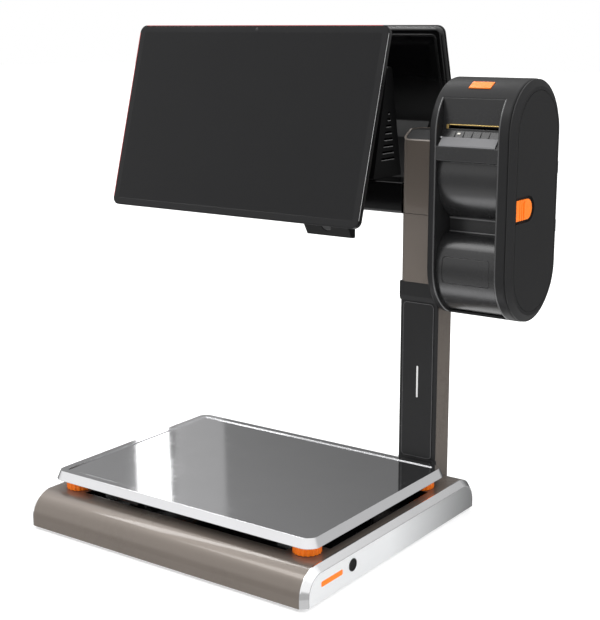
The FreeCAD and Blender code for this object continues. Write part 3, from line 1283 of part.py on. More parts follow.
def printer_door():
    """The door that closes the pod: a bevelled rim, a fine groove, a flat face and a seat for the latch."""
    body = new_body("door_body", framed=False)
    pad(body, "X", "door_inner", "door_face", obround("door_radius"))
    names = edges_where(body, lambda p: near(p.x, "door_face"))
    base = body.Tip
    bevel = body.newObject("PartDesign::Chamfer", "door_bevel")
    bevel.Base = (base, names)
    bevel.ChamferType = "Two distances"
    bind(bevel, "Size", "door_bevel_out")
    bind(bevel, "Size2", "door_bevel_in")
    doc.recompute()
    flat = [f for f in body.Shape.Faces if abs(f.CenterOfMass.x - number("door_face")) < 0.01]
    reach = number("pod_high + door_radius") - max(f.BoundBox.ZMax for f in flat)
    if abs(reach - number("door_bevel_out")) > 0.5:
        bevel.FlipDirection = True
        doc.recompute()
    pocket(body, "X", "door_face - door_groove", "door_face + 1",
           obround("(door_groove_radius + door_groove / 2)"),
           obround("(door_groove_radius - door_groove / 2)"))
    seat_end = "latch_end + latch_travel - 3.5"
    pocket(body, "X", "door_face - latch_sink", "door_face + 1",
           latch_outline("latch_front - 0.3", seat_end, "latch_radius + latch_clear"))
    slot_y = ("latch_front + 4 - 0.4", "latch_front + 18 + latch_travel + 0.4")
    slot = box("latch_slot", ("door_inner - 1", "door_face"), slot_y,
               ("latch_z - bolt_width / 2 - 0.4", "latch_z + bolt_width / 2 + 0.4"))
    lugs = []
    for tag, z in (("low", "pod_low + 20 + knuckle_length + knuckle_gap"),
                   ("high", "pod_high - 20 - 2 * knuckle_length - knuckle_gap")):
        barrel = rod("door_knuckle_" + tag, "Z", ("door_hinge_x", "door_hinge_y", z), "knuckle_radius",
                     "knuckle_length")
        rise = (z, "%s + knuckle_length" % z)
        root = box("door_leaf_root_" + tag, ("door_inner + 0.1", "door_inner + leaf_sheet"),
                   ("pod_y + door_radius - 2", "pod_y + pod_radius + leaf_gap + leaf_sheet"), rise)
        leaf = box("door_leaf_" + tag, ("door_hinge_x", "door_inner + leaf_sheet"),
                   ("pod_y + pod_radius + leaf_gap", "pod_y + pod_radius + leaf_gap + leaf_sheet"), rise)
        bore = rod("door_knuckle_bore_" + tag, "Z", ("door_hinge_x", "door_hinge_y", "%s - 1" % z),
                   "pin_radius + shaft_gap", "knuckle_length + 2")
        lugs.append(cut("door_lug_" + tag, merge("door_lug_solid_" + tag, [barrel, root, leaf]), [bore]))
    solid = merge("door_solid", [body] + lugs)
    finish(cut("printer_door", solid, [slot], True), "printer_door")

    pins = []
    for tag, z in (("low", "pod_low + 20"), ("high", "pod_high - 20 - 2 * knuckle_length - knuckle_gap")):
        pins.append(rod("door_pin_" + tag, "Z", ("door_hinge_x", "door_hinge_y", z), "pin_radius",
                        "2 * knuckle_length + knuckle_gap"))
    finish(group("door_hinge_pins", pins, True), "door_hinge_pins")


def latch():
    """The orange latch: a ribbed slider on the door's face whose bolt catches behind the pod's rim."""
    body = new_body("latch_face", framed=False)
    pad(body, "X", "door_face - latch_sink + 0.3", "door_face - 0.1",
        latch_outline("latch_front", "latch_end", "latch_radius"))
    grooves = []
    for index in range(3):
        y = "latch_front + 8 + %d * 5" % index
        grooves.append(box("latch_rib_%d" % index, ("door_face - 1", "door_face + 1"), (y, "%s + 1.6" % y),
                           ("latch_z - latch_radius - 1", "latch_z + latch_radius + 1")))
    face = cut("latch_ribbed", body, grooves)
    shank = box("latch_shank", ("bolt_right - bolt_thickness", "door_face - latch_sink + 1"),
                ("latch_front + 4", "latch_front + 18"),
                ("latch_z - bolt_width / 2", "latch_z + bolt_width / 2"))
    bolt = box("latch_bolt", ("bolt_right - bolt_thickness", "bolt_right"),
               ("pod_front + pod_flange - bolt_reach", "latch_front + 18"),
               ("latch_z - bolt_width / 2", "latch_z + bolt_width / 2"))
    finish(merge("latch", [face, shank, bolt], True), "latch")


# ---------------------------------------------------------------- build, check and export


def build_all():
    base_shell()
    base_plate()
    base_feet()
    for side in ("left", "right"):
        end_cap(side)
        side_panel(side)
    end_cap_screws()
    recess_liner()
    load_cell()
    weigh_platform()
    tray()
    thumb_wheels()
    power_button()
    connector_panel()
    column_post()
    column_cover()
    foot_collar()
    head()
    cross_arm()
    hub()
    camera()
    for side in ("front", "rear"):
        display(side)
        display_bracket(side)
    printer_shell()
    front_panel()
    peel_edge()
    feed_button()
    print_works()
    label_roll()
    printer_door()
    latch()


def check_all():
    """Stops if any object failed or any sub-part's shape is missing or invalid."""
    for thing in doc.Objects:
        if "Invalid" in thing.State or "Error" in thing.State:
            raise RuntimeError("%s did not compute: %s" % (thing.Label, thing.State))
    for thing in finished:
        if thing.Shape.isNull() or not thing.Shape.isValid() or not thing.Shape.Solids:
            raise RuntimeError("%s has no valid solid" % thing.Label)


def export_all():
    os.makedirs("parts", exist_ok=True)
    for thing in finished:
        thing.Shape.exportStep("parts/%s.step" % thing.Label)


fill_sheet()
build_all()
doc.recompute()
check_all()
export_all()
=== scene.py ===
"""Looks of the countertop self checkout kiosk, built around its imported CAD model. Metres."""

import math

import bmesh
import bpy
from mathutils import Matrix, Vector


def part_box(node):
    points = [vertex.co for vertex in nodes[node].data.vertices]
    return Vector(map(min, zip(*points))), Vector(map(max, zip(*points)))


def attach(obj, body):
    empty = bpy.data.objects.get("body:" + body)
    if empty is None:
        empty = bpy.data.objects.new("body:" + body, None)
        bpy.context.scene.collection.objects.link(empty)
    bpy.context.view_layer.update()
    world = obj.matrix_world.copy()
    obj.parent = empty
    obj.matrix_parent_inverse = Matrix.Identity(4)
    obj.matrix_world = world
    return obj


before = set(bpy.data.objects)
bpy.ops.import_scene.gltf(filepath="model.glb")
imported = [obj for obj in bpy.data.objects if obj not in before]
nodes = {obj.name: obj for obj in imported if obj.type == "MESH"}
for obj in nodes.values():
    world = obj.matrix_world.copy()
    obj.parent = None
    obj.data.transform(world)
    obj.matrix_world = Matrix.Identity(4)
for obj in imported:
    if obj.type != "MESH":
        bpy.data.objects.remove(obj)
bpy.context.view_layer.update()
scene = bpy.context.scene

MM = 0.001


# ---------------------------------------------------------------- materials

class Graph:
    """A material's node tree, with short calls to add and join nodes."""

    def __init__(self, name):
        self.material = bpy.data.materials.new(name)
        self.material.use_nodes = True
        self.tree = self.material.node_tree
        self.tree.nodes.clear()
        self.shader = self.add("ShaderNodeBsdfPrincipled")
        output = self.add("ShaderNodeOutputMaterial")
        self.join(self.shader.outputs["BSDF"], output.inputs["Surface"])
        self.where = self.add("ShaderNodeTexCoord").outputs["Object"]

    def add(self, kind, **settings):
        node = self.tree.nodes.new(kind)
        for key, value in settings.items():
            setattr(node, key, value)
        return node

    def join(self, source, target):
        self.tree.links.new(source, target)

    def feed(self, value, target):
        """Joins a socket, or sets a plain number or colour."""
        if isinstance(value, bpy.types.NodeSocket):
            self.join(value, target)
        else:
            target.default_value = value

    def stretched(self, scale):
        node = self.add("ShaderNodeMapping")
        node.inputs["Scale"].default_value = scale
        self.join(self.where, node.inputs["Vector"])
        return node.outputs["Vector"]

    def noise(self, scale, detail=3.0, rough=0.55, where=None):
        node = self.add("ShaderNodeTexNoise")
        self.join(where or self.where, node.inputs["Vector"])
        node.inputs["Scale"].default_value = scale
        node.inputs["Detail"].default_value = detail
        node.inputs["Roughness"].default_value = rough
        return node.outputs["Fac"]

    def math(self, operation, a, b=0.0, c=0.0, clamp=False):
        node = self.add("ShaderNodeMath", operation=operation, use_clamp=clamp)
        self.feed(a, node.inputs[0])
        self.feed(b, node.inputs[1])
        self.feed(c, node.inputs[2])
        return node.outputs[0]

    def spread(self, value, low, high, start=0.3, end=0.7, smooth=False):
        node = self.add("ShaderNodeMapRange")
        if smooth:
            node.interpolation_type = "SMOOTHSTEP"
        self.feed(value, node.inputs["Value"])
        node.inputs["From Min"].default_value = start
        node.inputs["From Max"].default_value = end
        node.inputs["To Min"].default_value = low
        node.inputs["To Max"].default_value = high
        return node.outputs["Result"]

    def mix(self, factor, a, b):
        node = self.add("ShaderNodeMix", data_type="RGBA")
        self.feed(factor, node.inputs[0])
        self.feed(a, node.inputs[6])
        self.feed(b, node.inputs[7])
        return node.outputs[2]

    def parts(self, vector):
        node = self.add("ShaderNodeSeparateXYZ")
        self.join(vector, node.inputs[0])
        return node.outputs

    def edges(self, radius):
        """1 on sharp edges and 0 on flat faces, and the softened normal."""
        bevel = self.add("ShaderNodeBevel", samples=4)
        bevel.inputs["Radius"].default_value = radius
        true = self.add("ShaderNodeNewGeometry").outputs["Normal"]
        dot = self.add("ShaderNodeVectorMath", operation="DOT_PRODUCT")
        self.join(bevel.outputs["Normal"], dot.inputs[0])
        self.join(true, dot.inputs[1])
        return self.spread(dot.outputs["Value"], 1.0, 0.0, 0.86, 0.99), bevel.outputs["Normal"]

    def bump(self, height, distance, strength=1.0, normal=None):
        node = self.add("ShaderNodeBump")
        node.inputs["Strength"].default_value = strength
        node.inputs["Distance"].default_value = distance
        self.join(height, node.inputs["Height"])
        if normal is not None:
            self.join(normal, node.inputs["Normal"])
        self.join(node.outputs["Normal"], self.shader.inputs["Normal"])


def shade(colour, factor):
    return (colour[0] * factor, colour[1] * factor, colour[2] * factor, 1.0)


def finish_of(name, colour, rough, metal=0.0, coat=0.0, coat_rough=0.05, gloss=0.5, tint=0.07,
              patch=14.0, grain=1400.0, depth=0.00003, rough_swing=0.06, stretch=(1, 1, 1),
              wear=0.35, wear_radius=0.0006, smudge=0.0):
    """A moulded, painted or metal finish: patchy tone, fine grain, smudged gloss and worn edges."""
    g = Graph(name)
    where = g.stretched(stretch)
    cloud = g.noise(patch, 4.0, 0.6)
    fine = g.noise(grain, 2.0, 0.5, where)
    tone = g.mix(g.spread(cloud, 0.0, 1.0), shade(colour, 1.0 - tint), shade(colour, 1.0 + tint))
    speck = g.mix(g.spread(fine, 0.0, 0.5), tone, shade(colour, 1.0 + 1.6 * tint))
    edge, soft = g.edges(wear_radius)
    worn = g.math("MULTIPLY", edge, g.spread(g.noise(160.0), 0.3 * wear, wear))
    light = tuple(min(1.0, c * 1.9 + 0.009) for c in colour) + (1.0,)
    g.join(g.mix(worn, speck, light), g.shader.inputs["Base Color"])
    blend = g.math("ADD", g.math("MULTIPLY", cloud, 0.6), g.math("MULTIPLY", fine, 0.4))
    base_rough = g.spread(blend, max(0.0, rough - rough_swing), rough + rough_swing)
    if smudge:
        marks = g.spread(g.noise(38.0, 5.0, 0.7), 0.0, smudge, 0.5, 0.75)
        base_rough = g.math("ADD", base_rough, marks)
    g.join(g.math("ADD", base_rough, g.math("MULTIPLY", worn, 0.12)), g.shader.inputs["Roughness"])
    g.shader.inputs["Metallic"].default_value = metal
    g.shader.inputs["Specular IOR Level"].default_value = gloss
    g.shader.inputs["Coat Weight"].default_value = coat
    g.shader.inputs["Coat Roughness"].default_value = coat_rough
    g.bump(fine, depth, 1.0, soft)
    return g


def painted_shade_along(g, axis, start, end, low, high):
    """Multiplies a finish's colour along one axis, between two places in metres: a painted shade gradient.
    """
    link = g.shader.inputs["Base Color"].links[0]
    source = link.from_socket
    g.tree.links.remove(link)
    share = g.spread(g.parts(g.where)[axis], low, high, start, end)
    scaled = g.add("ShaderNodeVectorMath", operation="SCALE")
    g.join(source, scaled.inputs[0])
    g.join(share, scaled.inputs["Scale"])
    g.join(scaled.outputs["Vector"], g.shader.inputs["Base Color"])
    return g


def painted_light_on_sides(g, factor):
    """Lifts the colour of faces that don't look upwards: painted light, standing in for brighter
    reflections on sides.
    """
    link = g.shader.inputs["Base Color"].links[0]
    source = link.from_socket
    g.tree.links.remove(link)
    upward = g.parts(g.add("ShaderNodeNewGeometry").outputs["Normal"])[2]
    scaled = g.add("ShaderNodeVectorMath", operation="SCALE")
    g.join(source, scaled.inputs[0])
    g.join(g.spread(upward, factor, 1.0, 0.55, 0.95), scaled.inputs["Scale"])
    g.join(scaled.outputs["Vector"], g.shader.inputs["Base Color"])
    return g


def rougher_below(g, start, end, extra):
    """Makes a finish duller below a height, from the end height down to the start height in metres."""
    base = g.shader.inputs["Roughness"].links[0].from_socket
    dull = g.spread(g.parts(g.where)[2], extra, 0.0, start, end)
    g.join(g.math("ADD", base, dull, clamp=True), g.shader.inputs["Roughness"])
    return g


def paint(graph, *names):
    for name in names:
        mesh = nodes[name].data
        mesh.materials.clear()
        mesh.materials.append(graph.material)


TAUPE = (0.150, 0.127, 0.109)
DARK = (0.0145, 0.0145, 0.015)
BLACK = (0.0018, 0.0018, 0.002)
ORANGE = (1.0, 0.21, 0.012)

taupe = finish_of("taupe_metallic", TAUPE, 0.30, metal=0.35, gloss=0.3, coat=0.5, coat_rough=0.05,
                  tint=0.03, patch=8.0, grain=2600.0, depth=0.000006, wear=0.25)
dark_plastic = finish_of("dark_moulded", DARK, 0.36, grain=2200.0, depth=0.00003, wear=0.3,
                         gloss=0.25, smudge=0.05)
pod_plastic = finish_of("dark_satin", DARK, 0.26, grain=2200.0, depth=0.000008, wear=0.5, gloss=0.5,
                        tint=0.03, rough_swing=0.03, smudge=0.02, wear_radius=0.0016)
pod_shell = finish_of("dark_rim", DARK, 0.40, grain=2200.0, depth=0.00001, wear=0.6, gloss=0.12,
                      tint=0.04, smudge=0.03, wear_radius=0.0018)
# Beads a little lighter than the pod's plastic: partly a painted highlight along the rims; the throat ribs
# share it.
pod_bead_painted_highlight = finish_of("dark_bead", (0.035, 0.035, 0.036), 0.24, gloss=0.9, grain=2200.0, depth=0.00001,
                     wear=0.2)
# Mid grey for the waist beads, lighter than the pod's plastic: a painted highlight along the waist's
# edges.
pod_waist_highlight = finish_of("waist_painted_highlight", (0.10, 0.10, 0.102), 0.30, gloss=0.8, grain=2200.0,
                       depth=0.00001, wear=0.2)
hub_black = finish_of("black_hub", (0.0016, 0.0016, 0.0018), 0.34, gloss=0.12, grain=1800.0,
                      depth=0.00002, wear=0.1)
# Pale grey for the strips under the hub's vents: a painted highlight, not the housing's colour.
vent_painted_highlight = finish_of("vent_lip", (0.20, 0.20, 0.20), 0.35, gloss=0.5)
door_plastic = finish_of("dark_matt", (0.014, 0.014, 0.0145), 0.48, grain=2000.0, depth=0.00004,
                         wear=0.3, gloss=0.2)
black_gloss = finish_of("black_polished", BLACK, 0.13, gloss=0.3, grain=900.0, depth=0.000006,
                        wear=0.2, smudge=0.06)
display_back = finish_of("black_lacquer", BLACK, 0.10, gloss=0.5, grain=900.0, depth=0.000006,
                         wear=0.3, smudge=0.03, wear_radius=0.0025)
display_back = rougher_below(display_back, 0.49, 0.55, 0.5)
black_satin = finish_of("black_satin", (0.004, 0.004, 0.004), 0.4, gloss=0.08, grain=1800.0,
                        depth=0.00003, wear=0.3)
chrome = finish_of("chrome_bright", (0.80, 0.80, 0.81), 0.12, metal=1.0, tint=0.03, grain=3000.0,
                   depth=0.000004, wear=0.1, stretch=(1, 0.05, 1))
panel_silver = finish_of("panel_brushed", (0.86, 0.87, 0.88), 0.34, metal=0.45, gloss=0.25,
                         tint=0.02, patch=5.0, grain=2400.0, depth=0.000003, rough_swing=0.02,
                         wear=0.0, stretch=(1, 0.03, 1))
stainless = finish_of("stainless_polished", (0.60, 0.60, 0.61), 0.06, metal=1.0, tint=0.03,
                      patch=7.0, grain=2600.0, depth=0.000003, rough_swing=0.02, wear=0.1,
                      stretch=(0.03, 1, 1), smudge=0.04)
# The tray's skirts are painted lighter than its top: painted reflection of the bright studio on its sides.
stainless = painted_light_on_sides(stainless, 1.22)
orange = finish_of("orange_moulded", ORANGE, 0.30, gloss=0.3, tint=0.05, grain=1800.0,
                   depth=0.00002, wear=0.2)
rubber = finish_of("rubber_black", (0.018, 0.018, 0.018), 0.75, gloss=0.3, grain=1500.0,
                   depth=0.0001, wear=0.2)
steel = finish_of("steel_plain", (0.55, 0.55, 0.56), 0.34, metal=1.0, grain=1800.0, depth=0.00002,
                  stretch=(0.1, 1, 1), smudge=0.1)
aluminium = finish_of("aluminium_milled", (0.66, 0.67, 0.68), 0.36, metal=1.0, grain=1500.0,
                      depth=0.00003, stretch=(0.06, 1, 1))
brass = finish_of("brass_plated", (0.80, 0.55, 0.20), 0.3, metal=1.0, grain=1500.0, depth=0.00001,
                  stretch=(0.1, 1, 1))
nylon = finish_of("nylon_white", (0.72, 0.70, 0.64), 0.42, tint=0.05, grain=1300.0, depth=0.00003)
smoked = finish_of("smoked_glass", (0.010, 0.010, 0.011), 0.10, grain=700.0, depth=0.000004,
                   wear=0.1, smudge=0.05)
lcd = finish_of("lcd_panel", (0.010, 0.011, 0.014), 0.3, grain=3000.0, depth=0.00001)
cover_glass = finish_of("cover_glass_black", (0.005, 0.005, 0.0055), 0.05, gloss=0.22, grain=500.0,
                        depth=0.000001, wear=0.05, rough_swing=0.02, smudge=0.04)
# The side panel is painted bright at the front and darker towards the back: painted reflection and shade.
panel_silver = painted_shade_along(panel_silver, 1, -0.07, 0.12, 1.12, 0.30)
border_ink = finish_of("border_ink", (0.0065, 0.0065, 0.007), 0.16, gloss=0.25, grain=1500.0,
                       depth=0.000002, wear=0.0)
red_trim = finish_of("red_trim", (0.35, 0.03, 0.03), 0.4, gloss=0.3)
# A lighter grey ring for the column inlay's edge: a painted highlight.
inlay_line = finish_of("inlay_line", (0.07, 0.07, 0.072), 0.25, gloss=0.6)
pale_ink_and_highlight = finish_of("pale_ink_and_highlight", (0.62, 0.62, 0.62), 0.5, gloss=0.3)

board = finish_of("board_green", (0.012, 0.075, 0.035), 0.4, grain=800.0, depth=0.00003)
paper = finish_of("paper_white", (0.78, 0.77, 0.74), 0.85, gloss=0.2, tint=0.03, grain=3200.0,
                  depth=0.00004, wear=0.0)

by_slot = {
    "taupe": taupe, "dark_plastic": dark_plastic, "black_gloss": black_gloss, "chrome": chrome,
    "panel_silver": panel_silver, "stainless": stainless, "orange": orange, "rubber": rubber,
    "steel": steel, "aluminium": aluminium, "nylon": nylon, "smoked": smoked, "lcd": lcd,
    "cover_glass": cover_glass, "board": board, "paper": paper,
}
peel_finish = finish_of("peel_satin", (0.16, 0.16, 0.165), 0.4, gloss=0.3, grain=1500.0, depth=0.00002)
for name, node in nodes.items():
    paint(by_slot[node.data.materials[0].name.split(".")[0]], name)
paint(peel_finish, "peel_edge")
paint(pod_shell, "printer_shell")
paint(pod_plastic, "printer_front_panel", "printer_window")
paint(door_plastic, "printer_door", "head_cap")
paint(display_back, "front_display_back", "rear_display_back")
paint(black_satin, "camera_housing")
paint(hub_black, "hub_housing")
paint(black_gloss, "power_button", "print_head", "camera_lens")


# ---------------------------------------------------------------- small pieces

def mesh_piece(name, bm, finish, body, bevel=0.0, segments=3):
    """A finished piece from a bmesh, with its edges rounded, riding on a body."""
    if bevel:
        sharp = [e for e in bm.edges if len(e.link_faces) == 2 and e.calc_face_angle(0.0) > 0.6]
        bmesh.ops.bevel(bm, geom=sharp, offset=bevel, offset_type="OFFSET", segments=segments,
                        profile=0.5, affect="EDGES", clamp_overlap=True)
    bmesh.ops.recalc_face_normals(bm, faces=bm.faces)
    mesh = bpy.data.meshes.new(name)
    bm.to_mesh(mesh)
    bm.free()
    for face in mesh.polygons:
        face.use_smooth = True
    mesh.set_sharp_from_angle(angle=math.radians(35))
    piece = bpy.data.objects.new(name, mesh)
    scene.collection.objects.link(piece)
    mesh.materials.append(finish.material)
    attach(piece, body)
    return piece


def round_outline(left, right, low, high, radius, steps=8):
    """Corners of a rounded rectangle, anticlockwise."""
    points = []
    for cx, cy, start in ((right - radius, low + radius, -90), (right - radius, high - radius, 0),
                          (left + radius, high - radius, 90), (left + radius, low + radius, 180)):
        for i in range(steps + 1):
            angle = math.radians(start + 90 * i / steps)
            points.append((cx + radius * math.cos(angle), cy + radius * math.sin(angle)))
    return points


def slab(outline, low, high, place):
    """A flat slab over an outline, in a local frame: outline in its X and Y, thickness in Z."""
    bm = bmesh.new()
    rings = [[bm.verts.new(place @ Vector((u, v, w))) for u, v in outline] for w in (low, high)]
    bm.faces.new(rings[0][::-1])
    bm.faces.new(rings[1])
    count = len(outline)
    for i in range(count):
        j = (i + 1) % count
        bm.faces.new((rings[0][i], rings[0][j], rings[1][j], rings[1][i]))
    return bm


def ring(outer, inner, low, high, place):
    """A flat frame between two outlines with the same number of corners."""
    bm = bmesh.new()
    loops = [[bm.verts.new(place @ Vector((u, v, w))) for u, v in outline]
             for outline, w in ((outer, low), (outer, high), (inner, high), (inner, low))]
    count = len(outer)
    for k in range(4):
        a, b = loops[k], loops[(k + 1) % 4]
        for i in range(count):
            j = (i + 1) % count
            bm.faces.new((a[i], a[j], b[j], b[i]))
    return bm


def strip(points, width, height, place):
    """A thin raised line along an open path in a local frame's X and Y."""
    bm = bmesh.new()
    sections = []
    for i, (u, v) in enumerate(points):
        before = Vector(points[max(i - 1, 0)])
        after = Vector(points[min(i + 1, len(points) - 1)])
        side = (after - before).normalized().orthogonal() * width / 2
        corners = ((u - side.x, v - side.y, 0), (u + side.x, v + side.y, 0),
                   (u + side.x, v + side.y, height), (u - side.x, v - side.y, height))
        sections.append([bm.verts.new(place @ Vector(c)) for c in corners])
    for a, b in zip(sections, sections[1:]):
        for i in range(4):
            j = (i + 1) % 4
            bm.faces.new((a[i], a[j], b[j], b[i]))
    bm.faces.new(sections[0][::-1])
    bm.faces.new(sections[-1])
    return bm


def frame_at(origin, across, up):
    """A matrix whose X runs across, Y up and Z outwards."""
    across = Vector(across).normalized()
    up = Vector(up).normalized()
    out = across.cross(up)
    turn = Matrix((across, up, out)).transposed().to_4x4()
    return Matrix.Translation(origin) @ turn


GLASS_THICKNESS = 2.2 * MM
DISPLAY_CORNER = 9.6 * MM


def dress_display(side, facing):
    """A display's printed border, red edge trims, a pale line painted as the highlight on its right edge,
    its sensor window, and the bead and screws on its back.
    """
    low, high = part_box(side + "_display_glass")
    tall = high.z - low.z
    deep = high.y - low.y
    tilt = math.atan2(deep, tall)
    for _ in range(4):
        tilt = math.atan2(deep - GLASS_THICKNESS * math.cos(tilt), tall - GLASS_THICKNESS * math.sin(tilt))
    height = (tall - GLASS_THICKNESS * math.sin(tilt)) / math.cos(tilt)
    half = (high.x - low.x) / 2
    foot_y = low.y if facing < 0 else high.y
    foot = Vector(((low.x + high.x) / 2, foot_y, low.z + GLASS_THICKNESS * math.sin(tilt)))
    place = frame_at(foot, (-facing, 0, 0), (0, -facing * math.sin(tilt), math.cos(tilt)))
    body = side + "_display"
    inset = 9 * MM
    border = ring(round_outline(-half + 1.6 * MM, half - 1.6 * MM, 1.6 * MM, height - 1.6 * MM,
                                DISPLAY_CORNER - 1.6 * MM),
                  round_outline(-half + inset, half - inset, inset, height - inset, 1.2 * MM),
                  -0.4 * MM, 0.06 * MM, place)
    mesh_piece(side + "_display_border", border, border_ink, body)
    top_edge = [(-half + DISPLAY_CORNER, height - 0.35 * MM), (half - DISPLAY_CORNER, height - 0.35 * MM)]
    mesh_piece(side + "_display_top_trim", strip(top_edge, 0.7 * MM, 0.12 * MM, place), red_trim, body)
    left_edge = [(-half + 0.5 * MM, height - DISPLAY_CORNER), (-half + 0.5 * MM, DISPLAY_CORNER)]
    mesh_piece(side + "_display_side_trim", strip(left_edge, 0.9 * MM, 0.12 * MM, place), red_trim, body)
    # A pale line down the right edge: a painted highlight of the glass edge.
    right_edge = [(half - 0.3 * MM, height - DISPLAY_CORNER), (half - 0.3 * MM, DISPLAY_CORNER)]
    mesh_piece(side + "_display_edge_light", strip(right_edge, 0.35 * MM, 0.12 * MM, place), pale_ink_and_highlight,
               body)
    window = slab(round_outline(-2.2 * MM, 2.2 * MM, height - 6.6 * MM, height - 3.4 * MM, 1.5 * MM),
                  0.0, 0.1 * MM, place)
    mesh_piece(side + "_display_sensor_window", window, smoked, body)
    back = [place.inverted() @ v.co for v in nodes[side + "_display_back"].data.vertices]
    depth = min(p.z for p in back if abs(p.x) > half - 12 * MM)
    bead = ring(round_outline(-half + 8 * MM, half - 8 * MM, 8 * MM, height - 8 * MM, 7 * MM),
                round_outline(-half + 11 * MM, half - 11 * MM, 11 * MM, height - 11 * MM, 4 * MM),
                depth - 1.1 * MM, depth + 0.3 * MM, place)
    mesh_piece(side + "_display_back_bead", bead, display_back, body, bevel=0.5 * MM)
    for x in (-half + 18 * MM, half - 18 * MM):
        spot = place @ Matrix.Translation((x, 18 * MM, depth)) @ Matrix.Rotation(math.pi, 4, "X")
        mesh_piece("%s_display_screw_%s" % (side, "left" if x < 0 else "right"),
                   screw_head(3.2 * MM, 1.1 * MM, spot), steel, body)


def screw_head(radius, height, place):
    """A domed cross-recess screw head standing on a face."""
    bm = bmesh.new()
    rings = []
    for share, level in ((1.0, -0.2), (1.0, 0.25), (0.93, 0.6), (0.75, 0.88), (0.42, 1.0)):
        rings.append([bm.verts.new(place @ Vector((radius * share * math.cos(math.tau * i / 24),
                                                   radius * share * math.sin(math.tau * i / 24),
                                                   height * level))) for i in range(24)])
    for a, b in zip(rings, rings[1:]):
        for i in range(24):
            j = (i + 1) % 24
            bm.faces.new((a[i], a[j], b[j], b[i]))
    sunk = []
    for i in range(24):
        share = 0.36 if i % 6 == 0 else 0.14
        sunk.append(bm.verts.new(place @ Vector((radius * share * math.cos(math.tau * i / 24),
                                                 radius * share * math.sin(math.tau * i / 24),
                                                 height * 0.55))))
    for i in range(24):
        j = (i + 1) % 24
        bm.faces.new((rings[-1][i], rings[-1][j], sunk[j], sunk[i]))
    bm.faces.new(sunk)
    bm.faces.new(rings[0][::-1])
    return bm


def tube(points, radius, side, sides=10):
    """A round bar along a path, closed at both ends."""
    bm = bmesh.new()
    side = Vector(side)
    rings = []
    for i, point in enumerate(points):
        along = Vector(points[min(i + 1, len(points) - 1)]) - Vector(points[max(i - 1, 0)])
        other = along.normalized().cross(side).normalized()
        rings.append([bm.verts.new(Vector(point) + radius * (math.cos(math.tau * k / sides) * side
                                                             + math.sin(math.tau * k / sides) * other))
                      for k in range(sides)])
    for a, b in zip(rings, rings[1:]):
        for k in range(sides):
            j = (k + 1) % sides
            bm.faces.new((a[k], a[j], b[j], b[k]))
    bm.faces.new(rings[0][::-1])
    bm.faces.new(rings[-1])
    return bm


dress_display("front", -1)
dress_display("rear", 1)

# The pod: soft beads along the rims and the waist, coloured lighter than the pod as painted highlights,
# and the parts of the label slot.
shell_low, shell_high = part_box("printer_shell")
panel_low, panel_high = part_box("printer_front_panel")
POD_RADIUS = 64 * MM
BEAD = 1.1 * MM
pod_middle = shell_low.y + POD_RADIUS
arc_top = shell_high.z - POD_RADIUS
arc_bottom = shell_low.z + POD_RADIUS
crease = math.asin((panel_high.z - arc_top) / POD_RADIUS)


def rim_path(x, inset):
    """The pod's front outline in the plane x, from the crease down around the bottom."""
    reach = POD_RADIUS - inset
    path = []
    for i in range(9):
        angle = crease * (1 - i / 8)
        path.append((x, pod_middle - reach * math.cos(angle), arc_top + reach * math.sin(angle)))
    for i in range(13):
        angle = math.radians(68) * i / 12
        path.append((x, pod_middle - reach * math.cos(angle), arc_bottom - reach * math.sin(angle)))
    return path


mesh_piece("pod_rim_bead_left", tube(rim_path(panel_low.x - 0.5 * MM, 0.5 * MM), BEAD, (1, 0, 0)),
           pod_bead_painted_highlight, "root")
mesh_piece("pod_rim_bead_right", tube(rim_path(panel_high.x + 0.5 * MM, 0.5 * MM), BEAD, (1, 0, 0)),
           pod_bead_painted_highlight, "root")
WAIST_FACE = 86.9 * MM
WAIST_TOP = 373.7 * MM
WAIST_BOTTOM = 357.4 * MM
# Beads across the waist, coloured lighter as painted highlight lines.
for name, z in (("pod_waist_bead_upper", WAIST_TOP), ("pod_waist_bead_lower", WAIST_BOTTOM)):
    bead_y = WAIST_FACE - 1.0 * MM
    ends = [(panel_low.x + 1 * MM, bead_y, z), (panel_high.x - 1 * MM, bead_y, z)]
    mesh_piece(name, tube(ends, BEAD, (0, 0, 1)), pod_waist_highlight, "root")

SLOT_LEFT, SLOT_RIGHT = 178.75 * MM, 243.75 * MM
SLOT_LOW, SLOT_HIGH = 479.2 * MM, 483.8 * MM
THROAT_TOP = 476.7 * MM
WALL_Y = 65.1 * MM
wall = frame_at((0, WALL_Y, 0), (1, 0, 0), (0, 0, 1))
mesh_piece("slot_tear_edge", strip([(SLOT_LEFT + 2 * MM, SLOT_HIGH - 0.2 * MM),
                                    (SLOT_RIGHT, SLOT_HIGH - 0.2 * MM)], 0.9 * MM, 0.5 * MM, wall),
           brass, "root")
contact_line = round_outline(SLOT_LEFT - 1.6 * MM, SLOT_LEFT + 1.2 * MM, SLOT_LOW - 0.4 * MM, SLOT_HIGH,
                             0.4 * MM)
mesh_piece("slot_contact", slab(contact_line, -0.5 * MM, 0.9 * MM, wall), brass, "root",
           bevel=0.25 * MM)
peel_low, peel_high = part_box("peel_edge")
throat_rise = THROAT_TOP - peel_high.z
throat_run = WALL_Y - peel_high.y
throat = frame_at((0, peel_high.y, peel_high.z), (1, 0, 0), (0, throat_run, throat_rise))
throat_length = math.hypot(throat_rise, throat_run)
RIB_COUNT = 5
for index in range(RIB_COUNT):
    x = SLOT_LEFT + (SLOT_RIGHT - SLOT_LEFT) * (index + 1) / (RIB_COUNT + 1)
    mesh_piece("throat_rib_%d" % index, strip([(x, 0.8 * MM), (x, throat_length - 0.4 * MM)], 1.0 * MM,
                                              0.5 * MM, throat), pod_bead_painted_highlight, "root")
